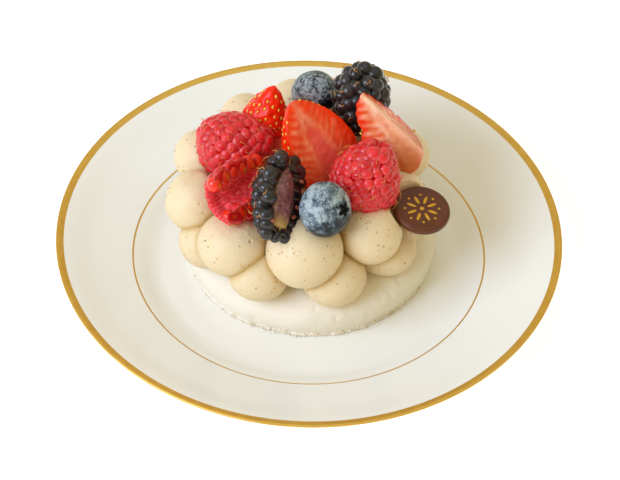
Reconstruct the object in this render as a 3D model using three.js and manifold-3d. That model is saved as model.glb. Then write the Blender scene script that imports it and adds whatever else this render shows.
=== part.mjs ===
// An individual pavlova on its porcelain plate: a baked meringue disc, two tiers of piped cream domes
// around a cream middle, cut and whole berries pressed into the cream, and a chocolate disc.
// Millimetres, +Z up. The origin is the middle of the plate's foot, on the table, and the pavlova's
// front faces -Y.

import * as THREE from "three";
import { mergeVertices } from "three/addons/utils/BufferGeometryUtils.js";
import Module from "manifold-3d";

const wasm = await Module();
wasm.setup();

// ---- Driving dimensions -------------------------------------------------------------------------

const GAP = 0.35; // clearance between neighbouring pieces

const PLATE = {
  radius: 80,
  height: 16,
  wellRadius: 45,
  wellTop: 5.2,
  shoulderRadius: 55.7,
  shoulderTop: 8.3,
  thickness: 3.2,
  lip: 0.9,
  footRadius: 46,
  footWidth: 3,
  footHeight: 1.9,
  segments: 40,
};

const MERINGUE = {
  centre: new THREE.Vector3(0.3, 6.6, PLATE.wellTop + GAP),
  radius: 39.6,
  footRadius: 38.2,
  height: 14,
  widestAt: 5,
  squareness: 2.9,
  segments: 32,
};

// The cream is piped in two rings of domes round a low mound that the fruit sits on.
const CREAM = {
  centre: new THREE.Vector3(-3.5, 7.5, 0),
  moundRadius: 27,
  moundTop: 41.5,
  moundSegments: 16,
  domeColumns: 10,
  domeRows: 6,
};

// Each dome: bearing round the cream's centre in degrees, distance from it, height of its middle,
// its radius, and how tall it is for its width.
const UPPER_DOMES = [
  { bearing: -86, reach: 30.8, z: 34.3, radius: 12.1, rise: 0.95 },
  { bearing: -45, reach: 31.6, z: 34.5, radius: 10.1, rise: 1.0 },
  { bearing: -13, reach: 31.0, z: 33.5, radius: 10.2, rise: 0.98 },
  { bearing: 22, reach: 34.8, z: 33.5, radius: 8.7, rise: 0.95 },
  { bearing: 60, reach: 33.5, z: 34.0, radius: 10.4, rise: 0.95 },
  { bearing: 94, reach: 32.6, z: 33.8, radius: 9.2, rise: 1.0 },
  { bearing: 123, reach: 31.8, z: 33.6, radius: 8.7, rise: 0.95 },
  { bearing: 162, reach: 32.3, z: 33.6, radius: 9.2, rise: 0.95 },
  { bearing: 197, reach: 33.5, z: 33.5, radius: 9.9, rise: 1.0 },
  { bearing: 232, reach: 32.7, z: 31.4, radius: 11.1, rise: 0.88 },
];
const LOWER_DOMES = [
  { bearing: -111, reach: 33.0, z: 24.2, radius: 9.8, rise: 0.85 },
  { bearing: -70, reach: 33.2, z: 23.6, radius: 10.3, rise: 0.85 },
  { bearing: -33.5, reach: 32.8, z: 23.5, radius: 9.8, rise: 0.85 },
  { bearing: 4, reach: 31.5, z: 24.0, radius: 9.6, rise: 0.85 },
  { bearing: 42, reach: 31.5, z: 24.0, radius: 9.8, rise: 0.85 },
  { bearing: 80, reach: 30.5, z: 24.0, radius: 9.6, rise: 0.85 },
  { bearing: 112, reach: 30.5, z: 24.0, radius: 9.4, rise: 0.85 },
  { bearing: 146, reach: 31.0, z: 24.0, radius: 9.4, rise: 0.85 },
  { bearing: 180, reach: 31.5, z: 24.0, radius: 9.4, rise: 0.85 },
  { bearing: 213, reach: 33.8, z: 24.4, radius: 9.0, rise: 0.9 },
];

const COLOURS = {
  porcelain: { color: 0xf4f1e6, roughness: 0.12, metalness: 0 },
  meringue: { color: 0xf1ebdc, roughness: 0.8, metalness: 0 },
  cream: { color: 0xf3dfb8, roughness: 0.5, metalness: 0 },
  raspberry: { color: 0xc9202f, roughness: 0.45, metalness: 0 },
  bramble: { color: 0x1d1b22, roughness: 0.25, metalness: 0 },
  blueberry: { color: 0x45526e, roughness: 0.55, metalness: 0 },
  strawberry: { color: 0xd9281a, roughness: 0.3, metalness: 0 },
  chocolate: { color: 0x4f2c23, roughness: 0.3, metalness: 0 },
};

// ---- Solids -------------------------------------------------------------------------------------

// A closed geometry as a solid.
function solidOf(geometry) {
  const bare = geometry.index ? geometry.toNonIndexed() : geometry.clone();
  bare.deleteAttribute("normal");
  bare.deleteAttribute("uv");
  const merged = mergeVertices(bare, 1e-4);
  return new wasm.Manifold(
    new wasm.Mesh({
      numProp: 3,
      vertProperties: new Float32Array(merged.attributes.position.array),
      triVerts: new Uint32Array(merged.index.array),
    }),
  );
}

// A solid of revolution about +Z. The profile is [radius, z] pairs from the bottom to the top.
function turned(profile, segments) {
  const points = profile.map(([radius, z]) => new THREE.Vector2(radius, z));
  return new THREE.LatheGeometry(points, segments).rotateX(Math.PI / 2);
}

// A closed skin over a grid, from a bottom pole to a top pole. surface(turn, climb) gives the point
// for turn 0..2 pi round +Z and climb 0..1 from the bottom pole to the top one.
function skin(columns, rows, surface) {
  const rings = [];
  for (let j = 1; j < rows; j++) {
    const ring = [];
    for (let i = 0; i < columns; i++) {
      ring.push(surface((2 * Math.PI * i) / columns, j / rows));
    }
    rings.push(ring);
  }
  const bottom = surface(0, 0);
  const top = surface(0, 1);
  const corners = [];
  for (let i = 0; i < columns; i++) {
    const next = (i + 1) % columns;
    corners.push(bottom, rings[0][next], rings[0][i]);
    corners.push(top, rings[rows - 2][i], rings[rows - 2][next]);
    for (let j = 0; j < rows - 2; j++) {
      const [a, b, c, d] = [rings[j][i], rings[j][next], rings[j + 1][next], rings[j + 1][i]];
      corners.push(a, b, c, a, c, d);
    }
  }
  return new THREE.BufferGeometry().setFromPoints(corners);
}

// A matrix that stands a piece's own +Z along an axis at a place, after a turn about its own +Z.
function standing(place, axis, turn = 0) {
  const up = new THREE.Vector3(0, 0, 1);
  const lean = new THREE.Quaternion().setFromUnitVectors(up, axis.clone().normalize());
  const spin = new THREE.Quaternion().setFromAxisAngle(up, turn);
  return new THREE.Matrix4().compose(place, lean.multiply(spin), new THREE.Vector3(1, 1, 1));
}

// A matrix that stands a cut piece's own +Z along an axis, with its cut face (its own -Y) facing a way.
function facing(place, axis, face) {
  const z = axis.clone().normalize();
  const y = face.clone().addScaledVector(z, -face.dot(z)).normalize().negate();
  const x = new THREE.Vector3().crossVectors(y, z);
  return new THREE.Matrix4().makeBasis(x, y, z).setPosition(place);
}

// ---- The pieces' own shapes, each made a little larger by grow ----------------------------------

function plateShape(grow) {
  const p = PLATE;
  const steps = 4;
  const under = [];
  const over = [];
  const rimRise = (p.height - p.shoulderTop) / (p.radius - p.shoulderRadius);
  const lean = (r) => p.shoulderTop + rimRise * (r - p.shoulderRadius);
  for (let i = 0; i <= steps; i++) {
    const t = i / steps;
    const ease = t * t * (2.2 - 1.2 * t);
    over.push([
      p.wellRadius + t * (p.shoulderRadius - p.wellRadius),
      p.wellTop + ease * (p.shoulderTop - p.wellTop),
    ]);
  }
  const footIn = p.footRadius - p.footWidth;
  under.push([0, p.footHeight - grow], [footIn - 0.8 - grow, p.footHeight - grow]);
  under.push([footIn - grow, 0 - grow], [p.footRadius + grow, 0 - grow]);
  under.push([p.footRadius + 1 + grow, p.footHeight - grow]);
  under.push([p.shoulderRadius + 1, lean(p.shoulderRadius + 1) - p.thickness - 1 - grow]);
  under.push([p.radius - 4, lean(p.radius - 4) - p.thickness * 0.75 - grow]);
  under.push([p.radius - 0.5 + grow, p.height - 2 * p.lip - grow]);
  under.push([p.radius + grow, p.height - p.lip]);
  under.push([p.radius - 0.35 + grow, p.height - 0.15 + grow]);
  under.push([p.radius - 1.1, p.height + grow]);
  const rim = [[p.radius - 12, lean(p.radius - 12) - 0.15 + grow]];
  const inward = over.reverse().map(([r, z]) => [r, z + grow]);
  const profile = [...under, ...rim, ...inward, [0, p.wellTop + grow]];
  return turned(profile, p.segments);
}

// Upright at the foot, fullest a third of the way up, then rounding over to a nearly flat top.
function meringueShape(grow) {
  const m = MERINGUE;
  const profile = [[0, -grow], [m.footRadius + grow, -grow]];
  const steps = 5;
  for (let i = 0; i <= steps; i++) {
    const t = (Math.PI / 2) * (i / steps);
    const out = Math.pow(Math.max(Math.cos(t), 0), 2 / m.squareness);
    const up = Math.pow(Math.sin(t), 2 / m.squareness);
    profile.push([
      out * (m.radius + grow),
      m.widestAt + up * (m.height - m.widestAt + grow),
    ]);
  }
  profile[profile.length - 1][0] = 0;
  return turned(profile, m.segments);
}

// A low mound with a flat foot and a domed top.
function moundShape(grow) {
  const foot = MERINGUE.centre.z + MERINGUE.height + GAP;
  const rise = CREAM.moundTop - foot;
  const profile = [[0, foot - grow], [CREAM.moundRadius + grow, foot - grow]];
  const steps = 4;
  for (let i = 1; i <= steps; i++) {
    const t = (Math.PI / 2) * (i / steps);
    profile.push([
      (CREAM.moundRadius + grow) * Math.pow(Math.max(Math.cos(t), 0), 0.6),
      foot + (rise + grow) * Math.pow(Math.sin(t), 0.8),
    ]);
  }
  profile[profile.length - 1][0] = 0;
  return turned(profile, CREAM.moundSegments);
}

// A piped dome: nearly a ball, a little fuller below its middle than above.
function domeShape(dome, grow) {
  const { domeColumns, domeRows } = CREAM;
  const radius = dome.radius + grow;
  return skin(domeColumns, domeRows, (turn, climb) => {
    const down = Math.PI * (1 - climb);
    const out = radius * Math.sin(down) * (1 - 0.04 * Math.cos(down));
    const z = radius * dome.rise * Math.cos(down);
    return new THREE.Vector3(out * Math.cos(turn), out * Math.sin(turn), z);
  });
}

// A berry built up of drupelets in staggered rows round a blunt cone. Its own +Z runs from the stem
// end to the tip. Each drupelet is one raised point of the grid with lower points all round it, and
// each row is turned half a drupelet from the one below.
function drupeletShape(berry, grow) {
  const { radius, length, rows, around, bump, taper, bluntness } = berry;
  return skin(around * 2, rows * 2, (turn, climb) => {
    const fullness = Math.pow(Math.sin(Math.PI * Math.pow(climb, taper)), bluntness);
    const row = Math.floor(climb * rows);
    const across = Math.cos((around * turn + row * Math.PI) / 2) ** 2;
    const along = Math.sin(Math.PI * climb * rows) ** 2;
    const onAxis = climb === 0 || climb === 1;
    const out = onAxis ? 0 : fullness * (radius - bump * (1 - across * along)) + grow;
    const z = (climb - 0.5) * (length + 2 * grow);
    return new THREE.Vector3(out * Math.cos(turn), out * Math.sin(turn), z);
  });
}

// The hollow that a raspberry keeps where it came off its stem: a blunt cone, open at the stem end.
function hollowShape(berry, grow) {
  const { radius, length, wall } = berry;
  const mouth = radius - wall - grow;
  const low = -length;
  const high = length / 2 - wall * 1.6 - grow;
  return turned([[0, low], [mouth, low], [mouth, -length * 0.25], [mouth * 0.45, high], [0, high]], 12);
}

// A round berry, a little flattened from its crown to its stem, with a small crown pit at its tip.
function blueberryShape(berry, grow) {
  const { radius, flatness } = berry;
  return skin(14, 8, (turn, climb) => {
    const down = Math.PI * (1 - climb);
    const pit = climb > 0.99 ? 0.82 : 1;
    const out = (radius + grow) * Math.sin(down);
    const z = (radius + grow) * flatness * Math.cos(down) * pit;
    return new THREE.Vector3(out * Math.cos(turn), out * Math.sin(turn), z);
  });
}

// A strawberry: a round-shouldered cone. Its own +Z runs from the stem end to the pointed tip.
function strawberryShape(berry, grow) {
  const { radius, length, point, skew } = berry;
  return skin(16, 9, (turn, climb) => {
    const out = (radius + grow) * Math.pow(Math.sin(Math.PI * Math.pow(climb, skew)), point);
    const z = (climb - 0.5) * (length + 2 * grow);
    const edge = climb === 0 || climb === 1 ? 0 : out;
    return new THREE.Vector3(edge * Math.cos(turn), edge * Math.sin(turn), z);
  });
}

// A round chocolate disc with softened edges. Its own +Z is the way its face looks.
function discShape(disc, grow) {
  const { radius, thickness, edge } = disc;
  const half = thickness / 2 + grow;
  const full = radius + grow;
  const profile = [
    [0, -half],
    [full - edge * 0.4, -half],
    [full, -half + edge * 0.4],
    [full, half - edge],
    [full - edge * 0.4, half - edge * 0.3],
    [full - edge, half],
    [0, half],
  ];
  return turned(profile, 20);
}

// A block that fills the half of space in front of a piece's cut face, in the piece's own frame, where
// the cut face looks along its own -Y after the given turn. grow moves the face outwards.
function cutAway(size, turn, grow) {
  return new THREE.BoxGeometry(2 * size, size, 2 * size)
    .translate(0, -size / 2 - grow, 0)
    .rotateZ(turn);
}

// ---- Fruit and decoration: where each piece is, and how it lies ---------------------------------

const v = (x, y, z) => new THREE.Vector3(x, y, z);

const RASPBERRY = { rows: 6, around: 8, bump: 1.1, taper: 0.78, bluntness: 0.48, wall: 4.2 };
const BRAMBLE = { rows: 6, around: 7, bump: 1.5, taper: 0.92, bluntness: 0.42 };

const FRUIT = [
  {
    name: "raspberry_left",
    kind: "raspberry",
    frame: standing(v(-23.8, 9.6, 47.4), v(0.97, 0.14, 0.1)),
    shape: { ...RASPBERRY, radius: 10.5, length: 25.5 },
  },
  {
    name: "raspberry_right",
    kind: "raspberry",
    frame: standing(v(18.0, -4.0, 50.3), v(0.3, 0.3, 0.9)),
    shape: { ...RASPBERRY, radius: 11.4, length: 24.5, taper: 0.62, bluntness: 0.58 },
  },
  {
    name: "bramble_whole",
    kind: "bramble",
    frame: standing(v(15.0, 25.5, 52.8), v(0.05, 0.12, 0.98)),
    shape: { ...BRAMBLE, radius: 9.8, length: 25, bluntness: 0.32 },
  },
  {
    name: "strawberry_half",
    kind: "strawberry",
    frame: facing(v(2.5, 4.5, 53.0), v(-0.525, 0.288, 0.801), v(0.642, -0.58, 0.502)),
    shape: { radius: 12.7, length: 33.6, point: 0.6, skew: 0.68 },
    cuts: [0],
  },
  {
    name: "strawberry_wedge",
    kind: "strawberry",
    frame: facing(v(25.2, 10.5, 56.8), v(-0.71, 0.26, 0.655), v(0.088, -0.932, 0.352)),
    shape: { radius: 12.5, length: 28, point: 0.58, skew: 0.6 },
    cuts: [0, Math.PI / 2],
  },
  {
    name: "strawberry_small",
    kind: "strawberry",
    frame: standing(v(-14.3, 19.5, 51.2), v(0.2, 0.12, 0.95)),
    shape: { radius: 7.5, length: 22, point: 0.7, skew: 0.6 },
  },
  {
    name: "strawberry_low",
    kind: "strawberry",
    frame: facing(v(-11.4, 12.6, 45.2), v(0.25, 0.62, 0.74), v(0.1, -0.75, 0.65)),
    shape: { radius: 8.2, length: 21, point: 0.6, skew: 0.62 },
    cuts: [0],
  },
  {
    name: "bramble_half",
    kind: "bramble",
    frame: facing(v(-7.8, -17.3, 52.2), v(0.115, 0.86, 0.46), v(0.707, -0.488, 0.511)),
    shape: { ...BRAMBLE, radius: 10.7, length: 30.5 },
    cuts: [0],
  },
  {
    name: "raspberry_half",
    kind: "raspberry",
    frame: facing(v(-19.5, -10.1, 48.2), v(0.654, 0.729, -0.217), v(0.682, -0.435, 0.593)),
    shape: { ...RASPBERRY, radius: 10, length: 25, taper: 0.85, bluntness: 0.42 },
    hollow: true,
    cuts: [0],
  },
  {
    name: "blueberry_front",
    kind: "blueberry",
    frame: standing(v(4.7, -20.9, 50.3), v(0.77, -0.435, 0.456)),
    shape: { radius: 8.7, flatness: 0.86 },
  },
  {
    name: "blueberry_back",
    kind: "blueberry",
    frame: standing(v(0.6, 33.4, 46.7), v(0.2, 0.93, -0.3)),
    shape: { radius: 7.4, flatness: 0.92 },
  },
];

const DISC = {
  name: "chocolate_disc",
  frame: standing(v(34.8, -8.8, 38.5), v(0.12, -0.1, 0.987)),
  shape: { radius: 9.0, thickness: 2.2, edge: 0.9 },
};

// ---- Assembly -----------------------------------------------------------------------------------

const materials = {};
for (const [name, look] of Object.entries(COLOURS)) {
  materials[name] = new THREE.MeshStandardMaterial(look);
}

const pavlova = new THREE.Group();
const placed = []; // what each later piece gives way to

// One piece's solid in the part's frame. Cut and hollow fruit is trimmed in its own frame first.
function makeSolid(piece, grow) {
  let solid = solidOf(piece.make(grow));
  if (piece.hollow) {
    solid = solid.subtract(solidOf(hollowShape(piece.shape, grow)));
  }
  for (const turn of piece.cuts ?? []) {
    solid = solid.subtract(solidOf(cutAway(60, turn, grow)));
  }
  return solid.transform(piece.frame.toArray());
}

function boxesMeet(a, b) {
  return [0, 1, 2].every((k) => a.min[k] < b.max[k] && b.min[k] < a.max[k]);
}

// The largest body of a solid, so that no shaving is left where two neighbours were cut away.
function largest(solid) {
  const bodies = solid.decompose();
  return bodies.reduce((best, body) => (body.volume() > best.volume() ? body : best));
}

// Adds a piece as a named mesh, cut back to a small gap wherever it would reach an earlier piece.
function addPiece(piece) {
  let solid = makeSolid(piece, 0);
  for (const earlier of placed) {
    if (boxesMeet(solid.boundingBox(), earlier.reach.boundingBox())) {
      solid = solid.subtract(earlier.reach);
    }
  }
  solid = largest(solid);
  placed.push({ reach: makeSolid(piece, GAP) });
  const found = solid.getMesh();
  const corners = new Float32Array(found.numVert * 3);
  for (let i = 0; i < found.numVert; i++) {
    corners.set(found.vertProperties.subarray(i * found.numProp, i * found.numProp + 3), i * 3);
  }
  const geometry = new THREE.BufferGeometry()
    .setAttribute("position", new THREE.BufferAttribute(corners, 3))
    .setIndex(new THREE.BufferAttribute(new Uint32Array(found.triVerts), 1))
    .applyMatrix4(piece.frame.clone().invert());
  geometry.computeVertexNormals();
  const mesh = new THREE.Mesh(geometry, materials[piece.material]);
  mesh.name = piece.name;
  mesh.applyMatrix4(piece.frame);
  pavlova.add(mesh);
}

const FRUIT_SHAPES = {
  raspberry: drupeletShape,
  bramble: drupeletShape,
  blueberry: blueberryShape,
  strawberry: strawberryShape,
};

addPiece({ name: "plate", material: "porcelain", frame: new THREE.Matrix4(), make: plateShape });
addPiece({
  name: "meringue",
  material: "meringue",
  frame: new THREE.Matrix4().setPosition(MERINGUE.centre),
  make: meringueShape,
});
for (const fruit of FRUIT) {
  addPiece({ ...fruit, material: fruit.kind, make: (grow) => FRUIT_SHAPES[fruit.kind](fruit.shape, grow) });
}
addPiece({ ...DISC, material: "chocolate", make: (grow) => discShape(DISC.shape, grow) });
addPiece({
  name: "cream_mound",
  material: "cream",
  frame: new THREE.Matrix4().setPosition(CREAM.centre),
  make: moundShape,
});

// A ring of domes, numbered round from the front.
function addRing(prefix, domes) {
  domes.forEach((dome, i) => {
    const bearing = THREE.MathUtils.degToRad(dome.bearing);
    const place = v(Math.cos(bearing), Math.sin(bearing), 0)
      .multiplyScalar(dome.reach)
      .add(CREAM.centre)
      .setZ(dome.z);
    addPiece({
      name: prefix + (i + 1),
      material: "cream",
      frame: new THREE.Matrix4().makeRotationZ(bearing).setPosition(place),
      make: (grow) => domeShape(dome, grow),
    });
  });
}
addRing("cream_upper_", UPPER_DOMES);
addRing("cream_lower_", LOWER_DOMES);

export default pavlova;
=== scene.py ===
import math

import bpy
import numpy as np
from mathutils import Matrix, Vector


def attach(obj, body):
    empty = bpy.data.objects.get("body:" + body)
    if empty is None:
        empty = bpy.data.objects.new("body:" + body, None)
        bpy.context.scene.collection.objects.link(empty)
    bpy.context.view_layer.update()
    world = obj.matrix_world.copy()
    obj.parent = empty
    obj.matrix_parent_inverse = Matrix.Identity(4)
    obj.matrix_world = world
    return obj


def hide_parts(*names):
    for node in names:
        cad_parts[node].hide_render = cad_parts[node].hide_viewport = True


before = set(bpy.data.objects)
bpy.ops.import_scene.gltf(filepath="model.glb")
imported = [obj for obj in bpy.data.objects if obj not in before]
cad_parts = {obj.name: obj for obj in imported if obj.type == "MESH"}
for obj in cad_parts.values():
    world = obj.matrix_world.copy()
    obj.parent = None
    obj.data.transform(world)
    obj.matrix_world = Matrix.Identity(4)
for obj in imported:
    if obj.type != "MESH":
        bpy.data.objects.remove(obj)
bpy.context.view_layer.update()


# ---- Camera, light and table ----------------------------------------------------------------------
# The pavlova is seen from the front and well above. A broad soft light stands to its left, a weaker
# one to its right, and the room is pale all round. It stands on a plain white table.

TILT = 0.80856  # how far the camera looks down, in radians
ROLL = 0.02599
DISTANCE = 1.5795
SHIFT = (0.000293, -0.001018)  # where the camera stands to the right of and above the plate's axis
PLATE_RIM_Z = 0.016
FOCAL = 5000 / 620  # the focal length in frame widths

camera_data = bpy.data.cameras.new("camera")
camera_data.sensor_width = 36
camera_data.lens = camera_data.sensor_width * FOCAL
camera_data.clip_start = 0.05
camera = bpy.data.objects.new("camera", camera_data)
up_in_view = Vector((0, math.sin(TILT), math.cos(TILT)))
away = Vector((0, -math.cos(TILT), math.sin(TILT)))
camera_at = away * DISTANCE + up_in_view * SHIFT[1] + Vector((SHIFT[0], 0, PLATE_RIM_Z))
camera.matrix_world = (
    Matrix.Translation(camera_at)
    @ Matrix.Rotation(math.pi / 2 - TILT, 4, "X")
    @ Matrix.Rotation(ROLL, 4, "Z")
)
bpy.context.scene.collection.objects.link(camera)
bpy.context.scene.camera = camera
bpy.context.scene.view_settings.view_transform = "Standard"


def colour(code):
    """An sRGB hex value as a linear colour: each channel over 255, then the sRGB curve undone."""
    channel = np.array([int(code[i : i + 2], 16) for i in (1, 3, 5)]) / 255
    linear = np.where(channel <= 0.04045, channel / 12.92, ((channel + 0.055) / 1.055) ** 2.4)
    return (*linear.tolist(), 1.0)


RESULTS = {"Mix": 2, "Attribute": 2, "TexCoord": 3}  # which output to read, where it isn't the first


def add(tree, kind, settings=None, links=None):
    """Adds a shader node and gives its result. Settings are its input values, by name or number, or
    its own properties, and a text that starts with # is a colour. A mix is of two colours. A pattern
    with no links follows the place on the piece, in metres."""
    made = tree.nodes.new("ShaderNode" + kind)
    if kind == "Mix":
        made.data_type = "RGBA"
    for key, value in (settings or {}).items():
        value = colour(value) if str(value)[0] == "#" else value
        if isinstance(key, int) or key in made.inputs:
            made.inputs[key].default_value = value
        else:
            setattr(made, key, value)
    if links is None and "Vector" in made.inputs:
        links = {"Vector": add(tree, "TexCoord")}
    feed(made, links or {})
    return made.outputs[RESULTS.get(kind, 0)] if made.outputs else None


def feed(node, links):
    """Links results into a node's inputs, by name or number. A text is a mark that the piece carries."""
    for key, result in links.items():
        if isinstance(result, str):
            result = add(node.id_data, "Attribute", {"attribute_name": result})
        node.id_data.links.new(result, node.inputs[key])


def soft_box(name, place, size, power, tint):
    """A square lamp of that size in metres, aimed at the food."""
    lamp = bpy.data.lights.new(name, "AREA")
    lamp.shape = "RECTANGLE"
    lamp.size, lamp.size_y = size
    lamp.energy = power
    lamp.color = colour(tint)[:3]
    lamp_object = bpy.data.objects.new(name, lamp)
    aim = Vector((0, 0, 0.03)) - Vector(place)
    lamp_object.matrix_world = Matrix.Translation(place) @ aim.to_track_quat("-Z", "Y").to_matrix().to_4x4()
    bpy.context.scene.collection.objects.link(lamp_object)


soft_box("window", (-0.815, -0.55, 0.718), (0.8, 0.8), 15.0, "#cadcff")
soft_box("ceiling", (0.1, 0.2, 1.5), (1.6, 1.6), 6.5, "#a4ceff")

room = bpy.data.worlds.new("pale_room")
room.use_nodes = True
room.node_tree.nodes["Background"].inputs["Color"].default_value = colour("#ffebb4")
room.node_tree.nodes["Background"].inputs["Strength"].default_value = 0.65
bpy.context.scene.world = room

table_mesh = bpy.data.meshes.new("table")
table_mesh.from_pydata([(-3, -3, 0), (3, -3, 0), (3, 3, 0), (-3, 3, 0)], [], [(0, 1, 2, 3)])
table = bpy.data.objects.new("table", table_mesh)
bpy.context.scene.collection.objects.link(table)
white_table = bpy.data.materials.new("white_table")
white_table.use_nodes = True
table_shader = white_table.node_tree.nodes["Principled BSDF"]
table_shader.inputs["Base Color"].default_value = colour("#ffffff")
table_shader.inputs["Roughness"].default_value = 0.9
table_shader.inputs["Emission Color"].default_value = colour("#ffffff")
table_shader.inputs["Emission Strength"].default_value = 0.4
table_mesh.materials.append(white_table)


# ---- Plate ----------------------------------------------------------------------------------------
# A dessert plate of glazed porcelain, turned on a wheel: a flat well, a short wall, a wide leaning rim
# and a foot ring. The rim's edge is gilded, and a thin gilded line runs round the top of the wall.

PLATE_COLUMNS = 240
# Where the line runs, from the middle of the underside round the rim to the middle of the well, as
# radius and height in mm. The last number is how finely the span before it is cut.
PLATE_LINE = [
    (0, 1.9, 1), (42.0, 1.9, 4), (42.6, 1.7, 3), (43.0, 0.3, 4), (43.3, 0.1, 3), (43.6, 0.05, 2),
    (45.4, 0.05, 3), (45.7, 0.1, 2), (46.0, 0.3, 3), (46.6, 1.6, 4), (47.6, 2.1, 3), (56.7, 4.6, 6),
    (68.0, 8.6, 6), (76.0, 12.4, 6), (79.2, 14.6, 4), (79.8, 15.15, 3), (80.0, 15.5, 4), (79.86, 15.86, 4),
    (79.5, 16.0, 3), (79.0, 15.96, 3), (77.5, 15.52, 4), (68.0, 12.0, 8), (60.0, 9.55, 6), (55.92, 8.37, 5),
    (55.38, 8.2, 3), (53.0, 7.3, 4), (50.4, 6.2, 4), (47.6, 5.42, 4), (45.0, 5.2, 4), (0, 5.2, 10),
]
GILT_RIM = 77.5
GILT_LINE = (55.38, 55.92)


def flowing(keys):
    """A smooth line through keys (radius, height, steps). Each span is a cubic, and at a key it heads
    from the key before to the key after, as fast as the span is long."""
    spots = np.array([key[:2] for key in keys], float)
    lengths = np.linalg.norm(np.diff(spots, axis=0), axis=1)
    reach = np.concatenate([[0], np.cumsum(lengths)])
    heading = np.gradient(spots, reach, axis=0)
    line = [spots[:1]]
    for i, length in enumerate(lengths):
        t = np.linspace(0, 1, keys[i + 1][2] + 1)[1:, None]
        start, end = spots[i], spots[i + 1]
        out, into = heading[i] * length, heading[i + 1] * length
        line.append(
            start * (2 * t**3 - 3 * t**2 + 1)
            + out * (t**3 - 2 * t**2 + t)
            + end * (3 * t**2 - 2 * t**3)
            + into * (t**3 - t**2)
        )
    return np.concatenate(line)


def woven(points, wrap=True):
    """A surface part from a grid of points, rows by columns by coordinates: two triangles for each
    cell. With wrap, the last column joins the first. Rows climb and columns run anticlockwise."""
    rows, columns = points.shape[:2]
    index = np.arange(rows * columns).reshape(rows, columns)
    if wrap:
        index = np.concatenate([index, index[:, :1]], axis=1)
    a, b, c, d = index[:-1, :-1], index[:-1, 1:], index[1:, 1:], index[1:, :-1]
    triangles = np.concatenate([np.stack([a, b, c], -1), np.stack([a, c, d], -1)]).reshape(-1, 3)
    return points.reshape(rows * columns, -1), triangles


def wheeled(radius, turn, height=0.0):
    """Points about +Z from their radius, turn and height, each a number or an array."""
    return np.stack(np.broadcast_arrays(radius * np.cos(turn), radius * np.sin(turn), height), -1)


def turned(line, columns):
    """A line of (radius, height) carried round +Z."""
    return wheeled(line[:, :1], np.linspace(0, 2 * math.pi, columns, endpoint=False), line[:, 1:2])


def joined(parts):
    """Several parts as one: their points in one list, each part's triangles moved up to match."""
    starts = np.cumsum([0] + [len(points) for points, _ in parts[:-1]])
    return (
        np.concatenate([points for points, _ in parts]),
        np.concatenate([triangles + start for (_, triangles), start in zip(parts, starts)]),
    )


def piece(name, part, materials, nodes=(), marks=(), pick=None):
    """A smooth-shaded piece from a part in mm. Points in the same place become one, so that poles and
    seams are closed. Columns after the third are marks that a material reads; pick gives each
    triangle's material from its middle."""
    points, triangles = part
    _, first, group = np.unique(np.round(points[:, :3], 5), axis=0, return_index=True, return_inverse=True)
    points, triangles = points[first], group.reshape(-1)[triangles]
    triangles = triangles[(triangles != np.roll(triangles, 1, axis=1)).all(axis=1)]
    mesh = bpy.data.meshes.new(name)
    mesh.vertices.add(len(points))
    mesh.vertices.foreach_set("co", (points[:, :3] / 1000).ravel())
    mesh.loops.add(triangles.size)
    mesh.loops.foreach_set("vertex_index", triangles.ravel().astype(np.int32))
    mesh.polygons.add(len(triangles))
    mesh.polygons.foreach_set("loop_start", np.arange(0, triangles.size, 3, dtype=np.int32))
    for material in materials:
        mesh.materials.append(material)
    if pick is not None:
        mesh.polygons.foreach_set("material_index", pick(points[triangles].mean(axis=1)).astype(np.int32))
    for column, mark in enumerate(marks, start=3):
        mesh.attributes.new(mark, "FLOAT", "POINT").data.foreach_set("value", points[:, column].copy())
    mesh.update(calc_edges=True)
    mesh.validate()
    mesh.shade_smooth()
    made = bpy.data.objects.new(name, mesh)
    bpy.context.scene.collection.objects.link(made)
    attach(made, "root")
    if nodes:
        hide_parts(*nodes)


def finish(name, settings):
    """A new material, its node tree, and its surface shader with those settings."""
    made = bpy.data.materials.new(name)
    made.use_nodes = True
    tree = made.node_tree
    tree.nodes.clear()
    surface = add(tree, "BsdfPrincipled", settings)
    add(tree, "OutputMaterial", {}, {"Surface": surface})
    return made, tree, surface.node


# Bone porcelain under a clear fired glaze: ivory, glassy, with a very slight waviness in its gloss.
porcelain, tree, shader = finish("glazed_porcelain", {"Roughness": 0.16, "IOR": 1.52})
clouding = add(tree, "TexNoise", {"Scale": 1000 / 45, "Detail": 3.0})
shade = add(tree, "Mix", {6: "#eceae0", 7: "#f1efe5"}, {0: clouding})
glaze_wave = add(tree, "TexNoise", {"Scale": 1000 / 9, "Detail": 2.0})
wave = add(tree, "Bump", {"Strength": 0.05, "Distance": 0.0002}, {"Height": glaze_wave})
feed(shader, {"Base Color": shade, "Normal": wave})

# Burnished liquid gold, fired on over the glaze: soft satin metal, brushed on by hand, a little streaky.
gilding, tree, shader = finish("burnished_gilding", {"Metallic": 0.6})
brushing = add(tree, "TexNoise", {"Scale": 1000 / 3.5, "Detail": 4.0})
shade = add(tree, "Mix", {6: "#c99634", 7: "#e0b654"}, {0: brushing})
satin = add(
    tree, "MapRange", {"From Min": 0.3, "From Max": 0.7, "To Min": 0.28, "To Max": 0.42}, {"Value": brushing},
)
feed(shader, {"Base Color": shade, "Roughness": satin})


def gilded(middles):
    """1 where a triangle's middle is on the top of the plate within one of the gilded rings."""
    radius = np.hypot(middles[:, 0], middles[:, 1])
    on_top = middles[:, 2] > 7.9 + 0.317 * (radius - 55.7) - 1.6
    rim = (radius > GILT_RIM) & (middles[:, 2] > 15.1)
    line = (radius > GILT_LINE[0]) & (radius < GILT_LINE[1]) & on_top
    return rim | line


piece(
    "china_plate", woven(turned(flowing(PLATE_LINE), PLATE_COLUMNS)), [porcelain, gilding],
    nodes=["plate"], pick=gilded,
)


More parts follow.
